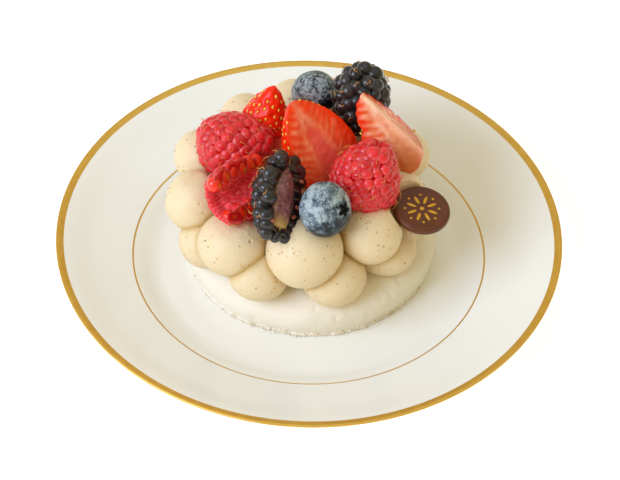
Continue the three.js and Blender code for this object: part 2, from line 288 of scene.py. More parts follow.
# ---- Meringue -------------------------------------------------------------------------------------
# The base is one thick round of meringue, piped and dried in a cool oven: a smooth, chalky, brittle
# shell with faint dimples, a few hairline breaks, and a crumbly line where it came off its paper.

MERINGUE_AT = (0.3, 6.6, 5.19)
MERINGUE_RADIUS = 39.6
MERINGUE_FOOT = 38.2
MERINGUE_HEIGHT = 14.33
MERINGUE_WIDEST = 5.33
MERINGUE_TOE = 0.7  # how far the crumbly foot line stands out
MERINGUE_SUNK = 0.4  # how far the flat foot is drawn below the glaze, so that the wall meets it cleanly
MERINGUE_DENTS = 46


def unit(rows):
    """Rows scaled to a length of one."""
    return rows / np.linalg.norm(rows, axis=-1, keepdims=True)


def bell(distance, width):
    """A bell curve: 1 at no distance, 1/e at the width."""
    return np.exp(-((distance / width) ** 2))


def marked(grid, *marks):
    """A grid with marks added as further columns, each the same all over or given point by point."""
    marks = [np.broadcast_to(mark, grid.shape[:-1]) for mark in marks]
    return np.concatenate([grid, np.stack(marks, -1)], -1)


def lumps(points, size, seed):
    """Smooth random heights from -1 to 1 at points in mm: random values on a lattice of that size,
    blended across each cell by the curve 3f^2 - 2f^3."""
    lattice = points[..., :3] / size + 100.0
    cell = np.floor(lattice).astype(int)
    share = lattice - cell
    share = share * share * (3 - 2 * share)
    values = np.random.default_rng(seed).uniform(-1, 1, (64, 64, 64))
    height = np.zeros(points.shape[:-1])
    for corner in np.ndindex(2, 2, 2):
        x, y, z = np.moveaxis((cell + corner) % 64, -1, 0)
        height += values[x, y, z] * np.prod(np.where(np.array(corner) == 1, share, 1 - share), axis=-1)
    return height


def meringue_part():
    """A flat foot with a low skirt, then a side and top that follow a rounded square: out = cos^0.69
    and up = sin^0.69 of the same angle. Lumps push it outwards, most at the foot line; dents and a
    break cut in. The mark is where raw crumb shows."""
    angle = np.linspace(0, math.pi / 2, 76)
    out = MERINGUE_RADIUS * np.cos(angle) ** 0.69
    up = MERINGUE_WIDEST + (MERINGUE_HEIGHT - MERINGUE_WIDEST) * np.sin(angle) ** 0.69
    side = np.linspace(0, 1, 28)[1:-1] ** 1.4
    wall = MERINGUE_FOOT + (MERINGUE_RADIUS - MERINGUE_FOOT) * np.sin(side * math.pi / 2)
    skirt = wall + MERINGUE_TOE * np.exp(-side * MERINGUE_WIDEST / 0.45)
    flat = np.linspace(0, MERINGUE_FOOT + MERINGUE_TOE, 8)
    line = np.stack(
        [
            np.concatenate([flat, skirt, out]),
            np.concatenate([0 * flat - MERINGUE_SUNK, side * MERINGUE_WIDEST, up]),
        ],
        -1,
    )
    line[-1, 0] = 0
    grid = turned(line, 800)
    heading = np.gradient(line, axis=0)
    heading[line[:, 1] < 1.5] = (0, 1)
    heading = unit(heading)
    spin = np.arctan2(grid[-2, :, 1], grid[-2, :, 0])
    outward = wheeled(heading[:, 1:], spin, -heading[:, :1])
    crumbly = 0.25 + 0.75 * bell(np.angle(np.exp(1j * (spin + 1.6))), 0.7)
    low = crumbly * bell(grid[..., 2], 0.9)
    level_with = grid * (1, 1, 0.25)
    swell = 0.45 * lumps(grid, 13, 1) + 0.16 * lumps(grid, 4.5, 2) + 0.05 * lumps(grid, 1.6, 3)
    crumbs = 0.3 * lumps(level_with, 2.2, 4) + 0.35 * lumps(level_with, 0.9, 5)
    swell += low * (crumbs + 0.2 * lumps(grid, 0.6, 9))
    random = np.random.default_rng(6)
    bearing = random.uniform(0, 2 * math.pi, MERINGUE_DENTS)
    level = random.uniform(1.5, 13, MERINGUE_DENTS)
    width = random.uniform(0.5, 1.3, MERINGUE_DENTS)
    for turn, z, wide in zip(bearing, level, width):
        along = MERINGUE_RADIUS * np.angle(np.exp(1j * (spin - turn)))
        swell -= 0.28 * wide * bell(np.hypot(along, grid[..., 2] - z), wide)
    # One break near the top edge on the right.
    turn = np.degrees(spin) + 14
    wander = 11.5 - 0.09 * turn + 0.5 * lumps(grid, 1.8, 7)
    raw = bell(grid[..., 2] - wander, 0.28) * ((turn > 0) & (turn < 22))
    swell -= 0.3 * raw
    foot = (line[:, 0] > MERINGUE_FOOT)[:, None] | (line[:, 1] > 1)[:, None]
    grid = grid + outward * (swell * foot)[..., None]
    raw = np.maximum(raw, low * np.clip(1.2 * lumps(grid, 1.3, 8), 0, 1) * foot)
    grid = marked(grid + MERINGUE_AT, raw)
    grid[0, :, :2] = grid[-1, :, :2] = MERINGUE_AT[:2]
    grid[-1, :, 2:] = grid[-1, :1, 2:]
    grid[0, :, 3] = 0
    return woven(grid)


# Dried meringue: chalk-white with a breath of ivory, matt, a fine sugar grain, and beige raw crumb.
meringue_shell, tree, shader = finish(
    "dried_meringue", {"Roughness": 0.78, "IOR": 1.45, "Specular IOR Level": 0.3},
)
blush = add(tree, "TexNoise", {"Scale": 1000 / 11, "Detail": 3.0})
shade = add(tree, "Mix", {6: "#e8e0cb", 7: "#eee6d4"}, {0: blush})
broken = add(tree, "Mix", {7: "#f7e7c2"}, {0: "raw", 6: shade})
grain = add(tree, "TexNoise", {"Scale": 1000 / 0.9, "Detail": 5.0, "Roughness": 0.6})
roughcast = add(tree, "Bump", {"Strength": 0.5, "Distance": 0.0003}, {"Height": grain})
feed(shader, {"Base Color": broken, "Normal": roughcast})

piece("meringue_base", meringue_part(), [meringue_shell], nodes=["meringue"], marks=["raw"])


# ---- Cream ----------------------------------------------------------------------------------------
# Vanilla cream, piped through a plain round nozzle: a mound in the middle and two rings of plump
# domes round it. It is satin smooth, with a few burst air bubbles, and the fruit presses into it.

CREAM_AT = np.array([-3.5, 7.5, 0])
MOUND_RADIUS = 27.0
MOUND_FOOT = 19.9
MOUND_TOP = 41.5
# Each dome: bearing round the middle in degrees, distance from it, height of its middle, its radius,
# and how tall it is for its width.
UPPER_DOMES = [
    (-86, 30.8, 34.3, 12.1, 0.95), (-45, 31.6, 34.5, 10.1, 1.0), (-13, 31.0, 33.5, 10.2, 0.98),
    (22, 34.8, 33.5, 8.7, 0.95), (60, 33.5, 34.0, 10.4, 0.95), (94, 32.6, 33.8, 9.2, 1.0),
    (123, 31.8, 33.6, 8.7, 0.95), (162, 32.3, 33.6, 9.2, 0.95), (197, 33.5, 33.5, 9.9, 1.0),
    (232, 32.7, 31.4, 11.1, 0.88),
]
LOWER_DOMES = [
    (-111, 33.0, 24.2, 9.8, 0.85), (-70, 33.2, 23.6, 10.3, 0.85), (-33.5, 32.8, 23.5, 9.8, 0.85),
    (4, 31.5, 24.0, 9.6, 0.85), (42, 31.5, 24.0, 9.8, 0.85), (80, 30.5, 24.0, 9.6, 0.85),
    (112, 30.5, 24.0, 9.4, 0.85), (146, 31.0, 24.0, 9.4, 0.85), (180, 31.5, 24.0, 9.4, 0.85),
    (213, 33.8, 24.4, 9.0, 0.9),
]


def ball(columns, rows):
    """Directions over a whole ball, from its bottom pole to its top pole, rows by columns by 3."""
    turn = np.linspace(0, 2 * math.pi, columns, endpoint=False)
    climb = np.linspace(-math.pi / 2, math.pi / 2, rows + 1)[:, None]
    flat = np.cos(climb)
    flat[[0, -1]] = 0
    return wheeled(flat, turn, np.sin(climb))


def dome_middle(dome):
    """A dome's middle, from its bearing, its distance and its height."""
    return CREAM_AT + wheeled(dome[1], math.radians(dome[0]), dome[2])


# Where a disc lies on the cream, and where berries rest and their juice runs in: middle and reach.
DISC = dict(at=(34.8, -8.8, 38.5), axis=(0.12, -0.1, 0.987))
DISC_RADIUS = 9.0
DISC_THICK = 2.2
JUICE = [((-19.5, -10.1, 48.2), 11.0), ((18.0, -4.0, 50.3), 12.3), ((-23.8, 9.6, 47.4), 11.0)]


def crevice(grid, dome):
    """How deep points lie in the folds between a dome and the others, from 0 to 1: a bell curve of the
    gap to the nearest other dome."""
    others = [other for other in UPPER_DOMES + LOWER_DOMES if other is not dome]
    spans = [np.linalg.norm((grid - dome_middle(other)) / (1, 1, other[4]), axis=-1) for other in others]
    gap = np.min([span - other[3] for span, other in zip(spans, others)], axis=0)
    return bell(np.clip(gap, 0, None), 1.4)


def dome_part(dome, seed):
    """A ball, a little fuller below its middle and flattened by its rise, drawn in towards the mound
    as the nozzle leaves it, with slow lumps of a fiftieth of its size and a few burst bubbles. It is
    puckered where a berry rests, and pressed flat under the disc. The marks are how much juice it took,
    and painted shade in the folds between the domes and in the burst bubbles."""
    bearing, _, _, radius, rise = dome
    way = ball(200, 112)
    inward = -wheeled(1, math.radians(bearing))
    drawn = np.clip(way @ inward, 0, 1) ** 2
    size = radius * (1 - 0.035 * way[..., 2] + 0.06 * drawn)
    middle = dome_middle(dome)
    rough = way * radius + middle
    off = np.min([np.linalg.norm(rough - place, axis=-1) - reach for place, reach in JUICE], axis=0)
    pucker = bell(np.clip(off, 0, None), 4.0)
    bumps = 0.22 * lumps(rough, 7.5, seed) + (0.06 + 0.12 * pucker) * lumps(rough, 2.4, seed + 1)
    bumps += 0.1 * pucker * lumps(rough, 1.0, seed + 2)
    random = np.random.default_rng(seed)
    pits = np.zeros(way.shape[:2])
    for _ in range(9):
        aim = unit(random.normal(size=3))
        wide = 0.22 + 0.3 * random.uniform() ** 2
        hole = np.exp(-(np.linalg.norm((way - aim) * radius, axis=-1) / wide) ** 4)
        bumps -= wide * hole
        pits = np.maximum(pits, hole)
    grid = way * (size + bumps)[..., None] * (1, 1, rise) + middle
    third = unit(DISC["axis"])
    over = grid - DISC["at"]
    height = over @ third
    aside = np.linalg.norm(over - height[..., None] * third, axis=-1)
    room = -0.5 * DISC_THICK - 0.25 + np.clip(aside - DISC_RADIUS - 0.4, 0, None) * 2.5
    grid -= np.clip(height - room, 0, None)[..., None] * third
    stain = bell(np.clip(off, 0, None), 1.5) * np.clip(0.55 + 0.6 * lumps(rough, 2.5, seed + 3), 0, 1)
    # Painted shade: the folds between domes and the burst bubbles are marked to turn golden brown.
    fold = np.maximum(crevice(grid, dome), pits)
    return woven(marked(grid, stain, fold))


def mound_part():
    """A low dome with a flat foot: out = cos^0.6 and up = sin^0.8 of the same angle, with slow lumps."""
    angle = np.linspace(0, math.pi / 2, 60)
    up = MOUND_FOOT + (MOUND_TOP - MOUND_FOOT) * np.sin(angle) ** 0.8
    line = np.stack([MOUND_RADIUS * np.cos(angle) ** 0.6, up], -1)
    line[-1, 0] = 0
    line = np.concatenate([[[0, MOUND_FOOT]], line])
    grid = turned(line, 160) + CREAM_AT
    swell = 0.7 * lumps(grid, 9, 20) + 0.12 * lumps(grid, 3, 21)
    inside = (grid[..., 2] > MOUND_FOOT + 0.1) & (np.arange(len(grid)) < len(grid) - 1)[:, None]
    grid[..., 2] += swell * inside
    grid[-1, :, 2] = grid[-2, :, 2].mean()
    # The mound takes a little juice stain and, all over, half the painted shade of the folds.
    return woven(marked(grid, 0.1, 0.5))


# Whipped vanilla cream set with custard: warm ivory-yellow, satin, with light passing a little way in.
cream, tree, shader = finish(
    "vanilla_cream",
    {
        "Roughness": 0.46, "IOR": 1.45, "Specular IOR Level": 0.35, "Subsurface Weight": 0.25,
        "Subsurface Radius": (1.0, 0.7, 0.35), "Subsurface Scale": 0.0025,
    },
)
cloud = add(tree, "TexNoise", {"Scale": 1000 / 8, "Detail": 4.0})
shade = add(tree, "Mix", {6: "#dcc59a", 7: "#e4d2ac"}, {0: cloud})
shade = add(tree, "Mix", {7: "#e39a84"}, {0: "stain", 6: shade})
# Painted shade: the folds and pits turn golden brown.
golden = add(tree, "Math", {"operation": "MULTIPLY", 1: 0.6}, {0: "fold"})
shade = add(tree, "Mix", {7: "#c59f4e"}, {0: golden, 6: shade})
whipped = add(tree, "TexNoise", {"Scale": 1000 / 1.4, "Detail": 4.0})
silk = add(tree, "Bump", {"Strength": 0.4, "Distance": 0.0003}, {"Height": whipped})
feed(shader, {"Base Color": shade, "Normal": silk})

CREAM_MARKS = ["stain", "fold"]
piece("cream_middle", mound_part(), [cream], nodes=["cream_mound"], marks=CREAM_MARKS)
for ring, domes in (("upper", UPPER_DOMES), ("lower", LOWER_DOMES)):
    for number, dome in enumerate(domes, start=1):
        seed = 30 + 2 * number + (100 if ring == "lower" else 0)
        node = f"cream_{ring}_{number}"
        part = dome_part(dome, seed)
        piece(f"piped_{ring}_{number}", part, [cream], nodes=[node], marks=CREAM_MARKS)


# ---- Specks in the cream --------------------------------------------------------------------------
# The seeds scraped from a vanilla pod, and flecks of the pod itself: black and tawny grains a third to
# half a millimetre across, lying just proud of the cream's skin.


def scattered_spots(count, seed):
    """Random spots on the domes, spread by area: middles on the skin and the way out at each. Spots
    inside a neighbouring dome or the mound are left out."""
    random = np.random.default_rng(seed)
    domes = UPPER_DOMES + LOWER_DOMES
    middles = np.array([dome_middle(dome) for dome in domes])
    sizes = np.array([[dome[3], dome[3], dome[3] * dome[4]] for dome in domes])
    which = random.choice(len(domes), count, p=sizes[:, 0] ** 2 / np.sum(sizes[:, 0] ** 2))
    way = unit(random.normal(size=(count, 3)))
    spots = middles[which] + way * sizes[which]
    depth = np.linalg.norm((spots[:, None] - middles) / sizes, axis=-1)
    depth[np.arange(count), which] = 2
    clear = (depth.min(axis=1) > 1.03) & (np.hypot(*(spots - CREAM_AT)[:, :2].T) > 22)
    return spots[clear], way[clear], random


def facing_frames(outward, twist):
    """Three axes for each row: the third is outward, the first two are square to it, turned by twist."""
    aside = unit(np.cross(outward, [0.31, 0.23, 0.92]))
    ahead = np.cross(outward, aside)
    cos, sin = np.cos(twist)[..., None], np.sin(twist)[..., None]
    return np.stack([aside * cos + ahead * sin, ahead * cos - aside * sin, outward], axis=-2)


def many(shape, middles, frames, sizes, marks=None):
    """Copies of one part: each scaled along its own three axes, turned by its frame and moved to its
    middle. The part's further columns go with it, and marks give each copy's own."""
    points, triangles = shape
    placed = np.einsum("nk,cki->cni", points[:, :3], sizes[:, :, None] * frames) + middles[:, None]
    columns = [placed, np.broadcast_to(points[None, :, 3:], (*placed.shape[:2], points.shape[1] - 3))]
    if marks is not None:
        columns.append(np.repeat(marks[:, None], len(points), axis=1))
    placed = np.concatenate(columns, -1)
    offset = np.arange(len(middles))[:, None, None] * len(points)
    return placed.reshape(-1, placed.shape[-1]), (triangles + offset).reshape(-1, 3)


GRAIN = woven(ball(7, 4))


def speckle(name, material, count, seed, low, high):
    """Flattened grains from low to high mm across, set in the cream's skin."""
    spots, way, random = scattered_spots(count, seed)
    long = random.uniform(low, high, len(spots)) / 2
    sizes = np.stack([long, long * random.uniform(0.5, 0.95, len(spots)), long * 0.45], -1)
    frames = facing_frames(way, random.uniform(0, 6.3, len(spots)))
    piece(name, many(GRAIN, spots, frames, sizes), [material])


def two_toned(name, settings, grain, low, high, **noise):
    """A finish whose colour wanders between two, by a noise of that grain in mm."""
    made, tree, shader = finish(name, settings)
    tint = add(tree, "TexNoise", {"Scale": 1000 / grain, **noise})
    feed(shader, {"Base Color": add(tree, "Mix", {6: low, 7: high}, {0: tint})})
    return made


# Vanilla seed: almost black, with a dull gloss.
vanilla_seed = two_toned("vanilla_seed", {"Roughness": 0.5}, 5, "#2a1a12", "#83553a")

# Vanilla pod fleck: tawny to rust brown, half sunk in cream.
pod_fleck = two_toned("vanilla_pod_fleck", {"Roughness": 0.6}, 4, "#c47a1e", "#eaa848")

speckle("vanilla_seeds", vanilla_seed, count=420, seed=11, low=0.26, high=0.52)
speckle("vanilla_pod_flecks", pod_fleck, count=680, seed=12, low=0.25, high=0.65)


# ---- Strawberries ---------------------------------------------------------------------------------
# One berry cut in half, one in quarters, a small one left whole and the side of another under them.
# The skin is glossy red with a seed in each dimple; the flesh is scarlet at the rim and pale inside.


def own_axes(fruit):
    """A fruit's own three axes: the third from its stem to its tip, the second away from the way its
    cut face looks."""
    third = unit(fruit["axis"])
    face = np.array(fruit.get("face", (0.3, -0.8, 0.5)))
    second = -unit(face - face @ third * third)
    return np.stack([np.cross(second, third), second, third])


def moved(part, fruit):
    """A part taken from a fruit's own axes to its place in the whole."""
    points, triangles = part
    return np.concatenate([points[:, :3] @ own_axes(fruit) + fruit["at"], points[:, 3:]], -1), triangles


STRAWBERRIES = {
    "strawberry_half": dict(
        at=(2.5, 4.5, 53.0), axis=(-0.525, 0.288, 0.801), face=(0.642, -0.58, 0.502),
        radius=12.7, length=33.6, blunt=0.6, skew=0.68, arc=(0, 1), pale=0.0, ragged=0.2, shoulder=0.0,
    ),
    "strawberry_wedge": dict(
        at=(25.2, 10.5, 56.8), axis=(-0.71, 0.26, 0.655), face=(0.088, -0.932, 0.352),
        radius=12.5, length=28.0, blunt=0.58, skew=0.6, arc=(0.5, 1), pale=1.0, ragged=0.9, shoulder=3.0,
    ),
    "strawberry_small": dict(
        at=(-14.3, 19.5, 51.2), axis=(0.2, 0.12, 0.95), face=(0.3, -0.8, 0.5),
        radius=7.5, length=22.0, blunt=0.7, skew=0.6, arc=(0, 2), pale=0.0, ragged=0.3, shoulder=0.0,
    ),
    "strawberry_low": dict(
        at=(-11.4, 12.6, 45.2), axis=(0.25, 0.62, 0.74), face=(0.1, -0.75, 0.65),
        radius=8.2, length=21.0, blunt=0.6, skew=0.62, arc=(0, 1), pale=0.3, ragged=0.0, shoulder=0.0,
    ),
}


def strawberry_height(berry, t, turn):
    """How high the skin's point at t is over the fruit's middle. By the stem the shoulder reaches past
    the middle line's end, by a sine of (t / 0.16)^0.4 that grows with the turn from a quarter to a half."""
    share = np.clip(2 * turn / math.pi - 1, 0, 1)
    rise = np.sin(math.pi * np.clip(t / 0.16, 0, 1) ** 0.4)
    return (t - 0.5) * berry["length"] - berry["shoulder"] * share * rise


def strawberry_radius(berry, t):
    """How far the skin is from the middle line at t, 0 at the stem end and 1 at the tip."""
    return berry["radius"] * np.maximum(np.sin(math.pi * t ** berry["skew"]), 0) ** berry["blunt"]


GOLDEN_ANGLE = 2.39996


def spiral_spots(radius_at, length, spacing):
    """Spots a given spacing apart over a round fruit: each one a golden angle further round than the
    last, at heights that share out the skin's area. Gives the angle, t and radius of each."""
    t = np.linspace(0, 1, 600)
    radius = radius_at(t)
    bands = np.hypot(np.diff(radius), np.diff(t) * length) * (radius[1:] + radius[:-1]) / 2
    area = np.concatenate([[0], np.cumsum(bands)])
    count = int(2 * math.pi * area[-1] / (0.9 * spacing**2))
    share = 0.03 + 0.94 * (np.arange(count) + 0.5) / count
    at = np.interp(share * area[-1], area, t)
    return np.arange(count) * GOLDEN_ANGLE, at, radius_at(at)


def strawberry_seed_spots(berry):
    """The seeds' places on the whole skin in the fruit's own axes. On a cut fruit a row of them stands
    along the first cut edge too, 2.7 mm apart."""
    random = np.random.default_rng(59)
    turn, t, radius = spiral_spots(lambda t: strawberry_radius(berry, t), berry["length"], 2.9)
    turn = turn + random.uniform(-0.4, 0.4, len(t)) / np.maximum(radius, 3)
    t = np.clip(t + random.uniform(-0.5, 0.5, len(t)) / berry["length"], 0.02, 0.98)
    radius = strawberry_radius(berry, t)
    spots = wheeled(radius, turn, strawberry_height(berry, t, turn % (2 * math.pi)))
    if berry["arc"] == (0, 2):
        return spots
    t = np.linspace(0.3, 0.99, 300)
    edge = math.pi * (berry["arc"][0] + 0.025)
    row = wheeled(strawberry_radius(berry, t), edge, (t - 0.5) * berry["length"])
    reach = np.concatenate([[0], np.cumsum(np.linalg.norm(np.diff(row, axis=0), axis=1))])
    steps = np.arange(1.0, reach[-1] - 0.5, 2.7)
    row = row[np.searchsorted(reach, steps + random.uniform(-0.4, 0.4, len(steps)))]
    apart = np.linalg.norm(spots[:, None] - row, axis=-1).min(axis=1)
    return np.concatenate([spots[apart > 1.9], row])


def strawberry_skin(berry):
    """The skin over the arc that is left, in half turns: the radius above, a dimple 0.4 mm deep round
    each seed, and slow lumps."""
    t = (1 - np.cos(np.linspace(0, math.pi, 121))) / 2
    whole = berry["arc"] == (0, 2)
    columns = int(90 * (berry["arc"][1] - berry["arc"][0])) + (not whole)
    turn = np.linspace(*berry["arc"], columns, endpoint=not whole) * math.pi
    radius = strawberry_radius(berry, t)[:, None]
    skin = wheeled(radius, turn, strawberry_height(berry, t[:, None], turn))
    seeds = strawberry_seed_spots(berry)
    gap = np.sqrt(((skin.reshape(-1, 1, 3) - seeds) ** 2).sum(-1).min(1)).reshape(skin.shape[:2])
    dimple = 0.42 * bell(gap, 0.85)
    swell = 0.35 * lumps(skin, 7, 60) + berry["ragged"] * lumps(skin, 1.7, 68) - dimple
    skin += wheeled(swell * (radius > 0.5), turn)
    skin[[0, -1], :, :2] = 0
    return skin


def flesh(berry, left, right):
    """A cut face stretched from its left edge to its right edge, row by row. Its marks are how far in
    from the skin it is in mm, the bundles of veins, the fruit's pale core, painted shade that darkens it
    towards the stem end, and 1."""
    across = np.linspace(0, 1, 91)[None, :, None]
    face = left[:, None] * (1 - across) + right[:, None] * across
    off = np.hypot(face[..., 0], face[..., 1])
    along = face[..., 2] + berry["length"] / 2
    edge = np.maximum(*[np.hypot(side[:, :1], side[:, 1:2]) for side in (left, right)])
    deep = np.minimum(edge - off, 0.55 * (berry["length"] - along))
    core = 0.5 * berry["radius"] * np.clip(0.93 - along / berry["length"], 0, 1) ** 0.75
    wobble = 0.7 * lumps(face, 3.5, 61) + 0.3 * lumps(face, 1.4, 64)
    boundary = bell(off - core + wobble, 0.95) * (0.7 + 0.3 * lumps(face, 2.5, 65))
    slant = along - 0.75 * off + 1.5 * lumps(face, 5, 62) + 0.35 * lumps(face, 1.5, 66)
    streak = (0.5 + 0.5 * np.cos(2 * math.pi * slant / 3.1)) * np.clip((off - core) / 1.5, 0, 1)
    streak *= np.clip(deep / 2.8, 0, 1) * (0.5 + 0.5 * lumps(face, 3, 67))
    ridge = berry["pale"] * bell(off, 1.9)
    vein = np.clip(0.8 * boundary + 0.95 * streak + 0.65 * ridge, 0, 1)
    heart = np.clip((core - off + wobble) / 2.4 + 0.5, 0, 1)
    inner = np.clip(deep / 1.5, 0, 1)
    outward = unit(np.cross(right[len(right) // 2] - left[len(left) // 2], [0, 0, 1]))
    closed = np.clip(off / 1.2, 0, 1) if berry["arc"] == (0.5, 1) else 1
    relief = (0.16 * lumps(face, 1.6, 63) + 0.2 * vein - 0.12 * heart) * inner * closed
    face = face + outward * relief[..., None]
    # Painted shade: the flesh darkens towards the stem end, less round the middle of a pale berry.
    shaded = np.clip(1.15 - along / (0.42 * berry["length"]), 0, 1)
    shaded = shaded * (1 - 0.85 * berry["pale"] * bell(off, 5))
    return woven(marked(face, deep, vein, heart, shaded, 1), wrap=False)


def strawberry_part(name):
    """Skin and cut faces in their place. The last mark is 1 on flesh."""
    berry = STRAWBERRIES[name]
    skin = strawberry_skin(berry)
    parts = [woven(marked(skin, 0, 0, 0, 0, 0), wrap=berry["arc"] == (0, 2))]
    faces = []
    if berry["arc"] == (0, 1):
        faces = [(skin[:, -1], skin[:, 0])]
    if berry["arc"] == (0.5, 1):
        middle = skin[:, 0] * (0, 0, 1)
        faces = [(skin[:, -1], middle), (middle, skin[:, 0])]
    parts += [flesh(berry, left, right) for left, right in faces]
    return moved(joined(parts), berry)


# Strawberry skin: wet-looking scarlet, glossy, darker in its dimples.
strawberry_skin_finish = two_toned(
    "ripe_strawberry_skin",
    {
        "Roughness": 0.27, "IOR": 1.4, "Specular IOR Level": 0.3, "Subsurface Weight": 0.2,
        "Subsurface Radius": (1.0, 0.15, 0.05), "Subsurface Scale": 0.0015, "Coat Weight": 0.1,
        "Coat Roughness": 0.1,
    },
    6, "#de1604", "#f83408", Detail=3.0,
)


def flesh_finish(name, rim, body, vein, heart, blush, stem_end, reach):
    """Cut strawberry: moist, a little see-through, fibrous. Scarlet under the skin for the first of the
    two reaches in mm, then fading to the body by the second, with pale streaks and blushed patches, and
    a darker colour towards the stem end that is painted shade."""
    made, tree, shader = finish(
        name,
        {
            "Roughness": 0.4, "IOR": 1.38, "Specular IOR Level": 0.3, "Subsurface Weight": 0.25,
            "Subsurface Radius": (1.0, 0.22, 0.06), "Subsurface Scale": 0.002,
        },
    )
    faded = add(tree, "Math", {"operation": "MULTIPLY_ADD", 1: 1.8}, {0: "vein", 2: "deep"})
    inside = add(
        tree, "MapRange", {"From Min": reach[0], "From Max": reach[1], "interpolation_type": "SMOOTHSTEP"},
        {"Value": faded},
    )
    fibre = add(tree, "TexNoise", {"Scale": 1000 / 0.9, "Detail": 4.0, "Distortion": 0.6})
    patch = add(tree, "TexNoise", {"Scale": 1000 / 5, "Detail": 3.0})
    patchy = add(tree, "MapRange", {"From Min": 0.45, "From Max": 0.7, "To Max": 0.55}, {"Value": patch})
    softened = add(tree, "Math", {"operation": "MULTIPLY", 1: 0.85}, {0: "heart"})
    faint = add(tree, "Math", {"operation": "MULTIPLY"}, {0: "vein", 1: fibre})
    faint = add(tree, "Math", {"operation": "MULTIPLY", 1: 1.7, "use_clamp": True}, {0: faint})
    shade = add(tree, "Mix", {6: rim, 7: body}, {0: inside})
    for amount, code in ((softened, heart), (patchy, blush), (faint, vein), ("stem_end", stem_end)):
        shade = add(tree, "Mix", {7: code}, {0: amount, 6: shade})
    weave = add(tree, "Bump", {"Strength": 0.35, "Distance": 0.0002}, {"Height": fibre})
    feed(shader, {"Base Color": shade, "Normal": weave})
    return made


red_flesh = flesh_finish(
    "red_strawberry_flesh", rim="#ff3d00", body="#f4592c", vein="#ff9c70", heart="#f0685a",
    blush="#ea4016", stem_end="#c02a12", reach=(1.8, 6.0),
)
pale_flesh = flesh_finish(
    "pale_strawberry_flesh", rim="#f2360a", body="#ee7642", vein="#ffd4b2", heart="#f2a878",
    blush="#dc6a32", stem_end="#c4682f", reach=(1.4, 4.6),
)

for name, berry in STRAWBERRIES.items():
    piece(
        "cut_" + name if berry["arc"] != (0, 2) else "whole_" + name, strawberry_part(name),
        [strawberry_skin_finish, pale_flesh if berry["pale"] > 0.5 else red_flesh],
        nodes=[name], marks=["deep", "vein", "heart", "stem_end"], pick=lambda middles: middles[:, 7] > 0.5,
    )


def strawberry_seeds():
    """Every seed still on a skin: a pointed grain 1.25 by 0.85 mm, in its dimple, tip to the tip."""
    parts = []
    random = np.random.default_rng(69)
    for berry in STRAWBERRIES.values():
        spots = strawberry_seed_spots(berry)
        turn = np.arctan2(spots[:, 1], spots[:, 0]) / math.pi % 2
        spots = spots[(turn > berry["arc"][0] - 0.02) & (turn < berry["arc"][1] + 0.02)]
        away = unit(spots * (1, 1, 0.35))
        aside = unit(np.cross([0, 0, 1.0], away))
        frames = np.stack([np.cross(aside, away), aside, away], axis=1)
        sizes = np.tile([0.62, 0.4, 0.3], (len(spots), 1)) * random.uniform(0.85, 1.1, (len(spots), 1))
        parts.append(moved(many(woven(ball(9, 6)), spots - 0.18 * away, frames, sizes), berry))
    return joined(parts)


# Strawberry seed: hard, straw yellow, with a slight gloss.
achene = two_toned("strawberry_seed", {"Roughness": 0.38}, 3, "#d79a1c", "#f3cf55")
piece("strawberry_seeds", strawberry_seeds(), [achene])


# ---- Raspberries and brambles ---------------------------------------------------------------------
# Each berry is a cluster of juicy drupelets round a core. Raspberries are hollow where they came off
# their stems; brambles keep a spongy core. Two are cut in half and show cells, seeds, hollow and core.

CLUSTERS = {
    "raspberry_left": dict(
        kind="raspberry", at=(-23.8, 9.6, 47.4), axis=(0.97, 0.14, 0.1), face=(0.0, -0.7, 0.7),
        radius=10.5, length=25.5, taper=0.78, blunt=0.48, mouth=0.0, spacing=3.9, cut=False,
    ),
    "raspberry_right": dict(
        kind="raspberry", at=(18.0, -4.0, 50.3), axis=(0.3, 0.3, 0.9), face=(0.0, -0.9, 0.3),
        radius=11.4, length=24.5, taper=0.62, blunt=0.58, mouth=0.0, spacing=3.6, cut=False,
    ),
    "raspberry_half": dict(
        kind="raspberry", at=(-19.5, -10.1, 48.2), axis=(0.654, 0.729, -0.217), face=(0.682, -0.435, 0.593),
        radius=10.0, length=25.0, taper=0.85, blunt=0.42, mouth=0.12, spacing=3.5, cut=True,
    ),
    "bramble_whole": dict(
        kind="bramble", at=(15.0, 25.5, 52.8), axis=(0.05, 0.12, 0.98), face=(0.0, -0.9, 0.3),
        radius=9.8, length=25.0, taper=0.92, blunt=0.32, mouth=0.0, spacing=5.0, cut=False,
    ),
    "bramble_half": dict(
        kind="bramble", at=(-7.8, -17.3, 52.2), axis=(0.115, 0.86, 0.46), face=(0.707, -0.488, 0.511),
        radius=10.7, length=30.5, taper=0.92, blunt=0.42, mouth=0.0, spacing=4.6, cut=True,
    ),
}
# What sets the two kinds apart: half a drupelet's width as a part of their spacing, how tall it is for
# its width, how far ahead of a cut face those on its left may stand, and how deep the core lies. Then
# how many drupelets keep a hair, and its least and greatest length and its thickness.
KINDS = {
    "raspberry": dict(wide=0.69, tall=0.77, ahead=-0.2, inset=2.0, hairy=0.55, hair=(1.4, 3.4, 0.12)),
    "bramble": dict(wide=0.57, tall=1.0, ahead=-1.2, inset=2.6, hairy=0.75, hair=(1.8, 3.2, 0.19)),
}
SKIN, VELVET, FLESH = 0.0, 1.0, 2.0  # which finish a part of a berry has
# The halved bramble's core: its two ends along the berry, its radius and how far aside it lies.
BRAMBLE = CLUSTERS["bramble_half"]
CORE_ENDS = (-10.8, 9.0)
CORE_RADIUS = 4.1
CORE_ASIDE = -0.9


def cluster_radius(berry, t):
    """How far the tops of the drupelets are from the middle line at t, from stem 0 to tip 1: a power
    of a sine, which starts a little way along on a berry whose mouth is open."""
    climb = berry["mouth"] + (1 - berry["mouth"]) * np.clip(t, 0, 1)
    return berry["radius"] * np.maximum(np.sin(math.pi * climb ** berry["taper"]), 0) ** berry["blunt"]


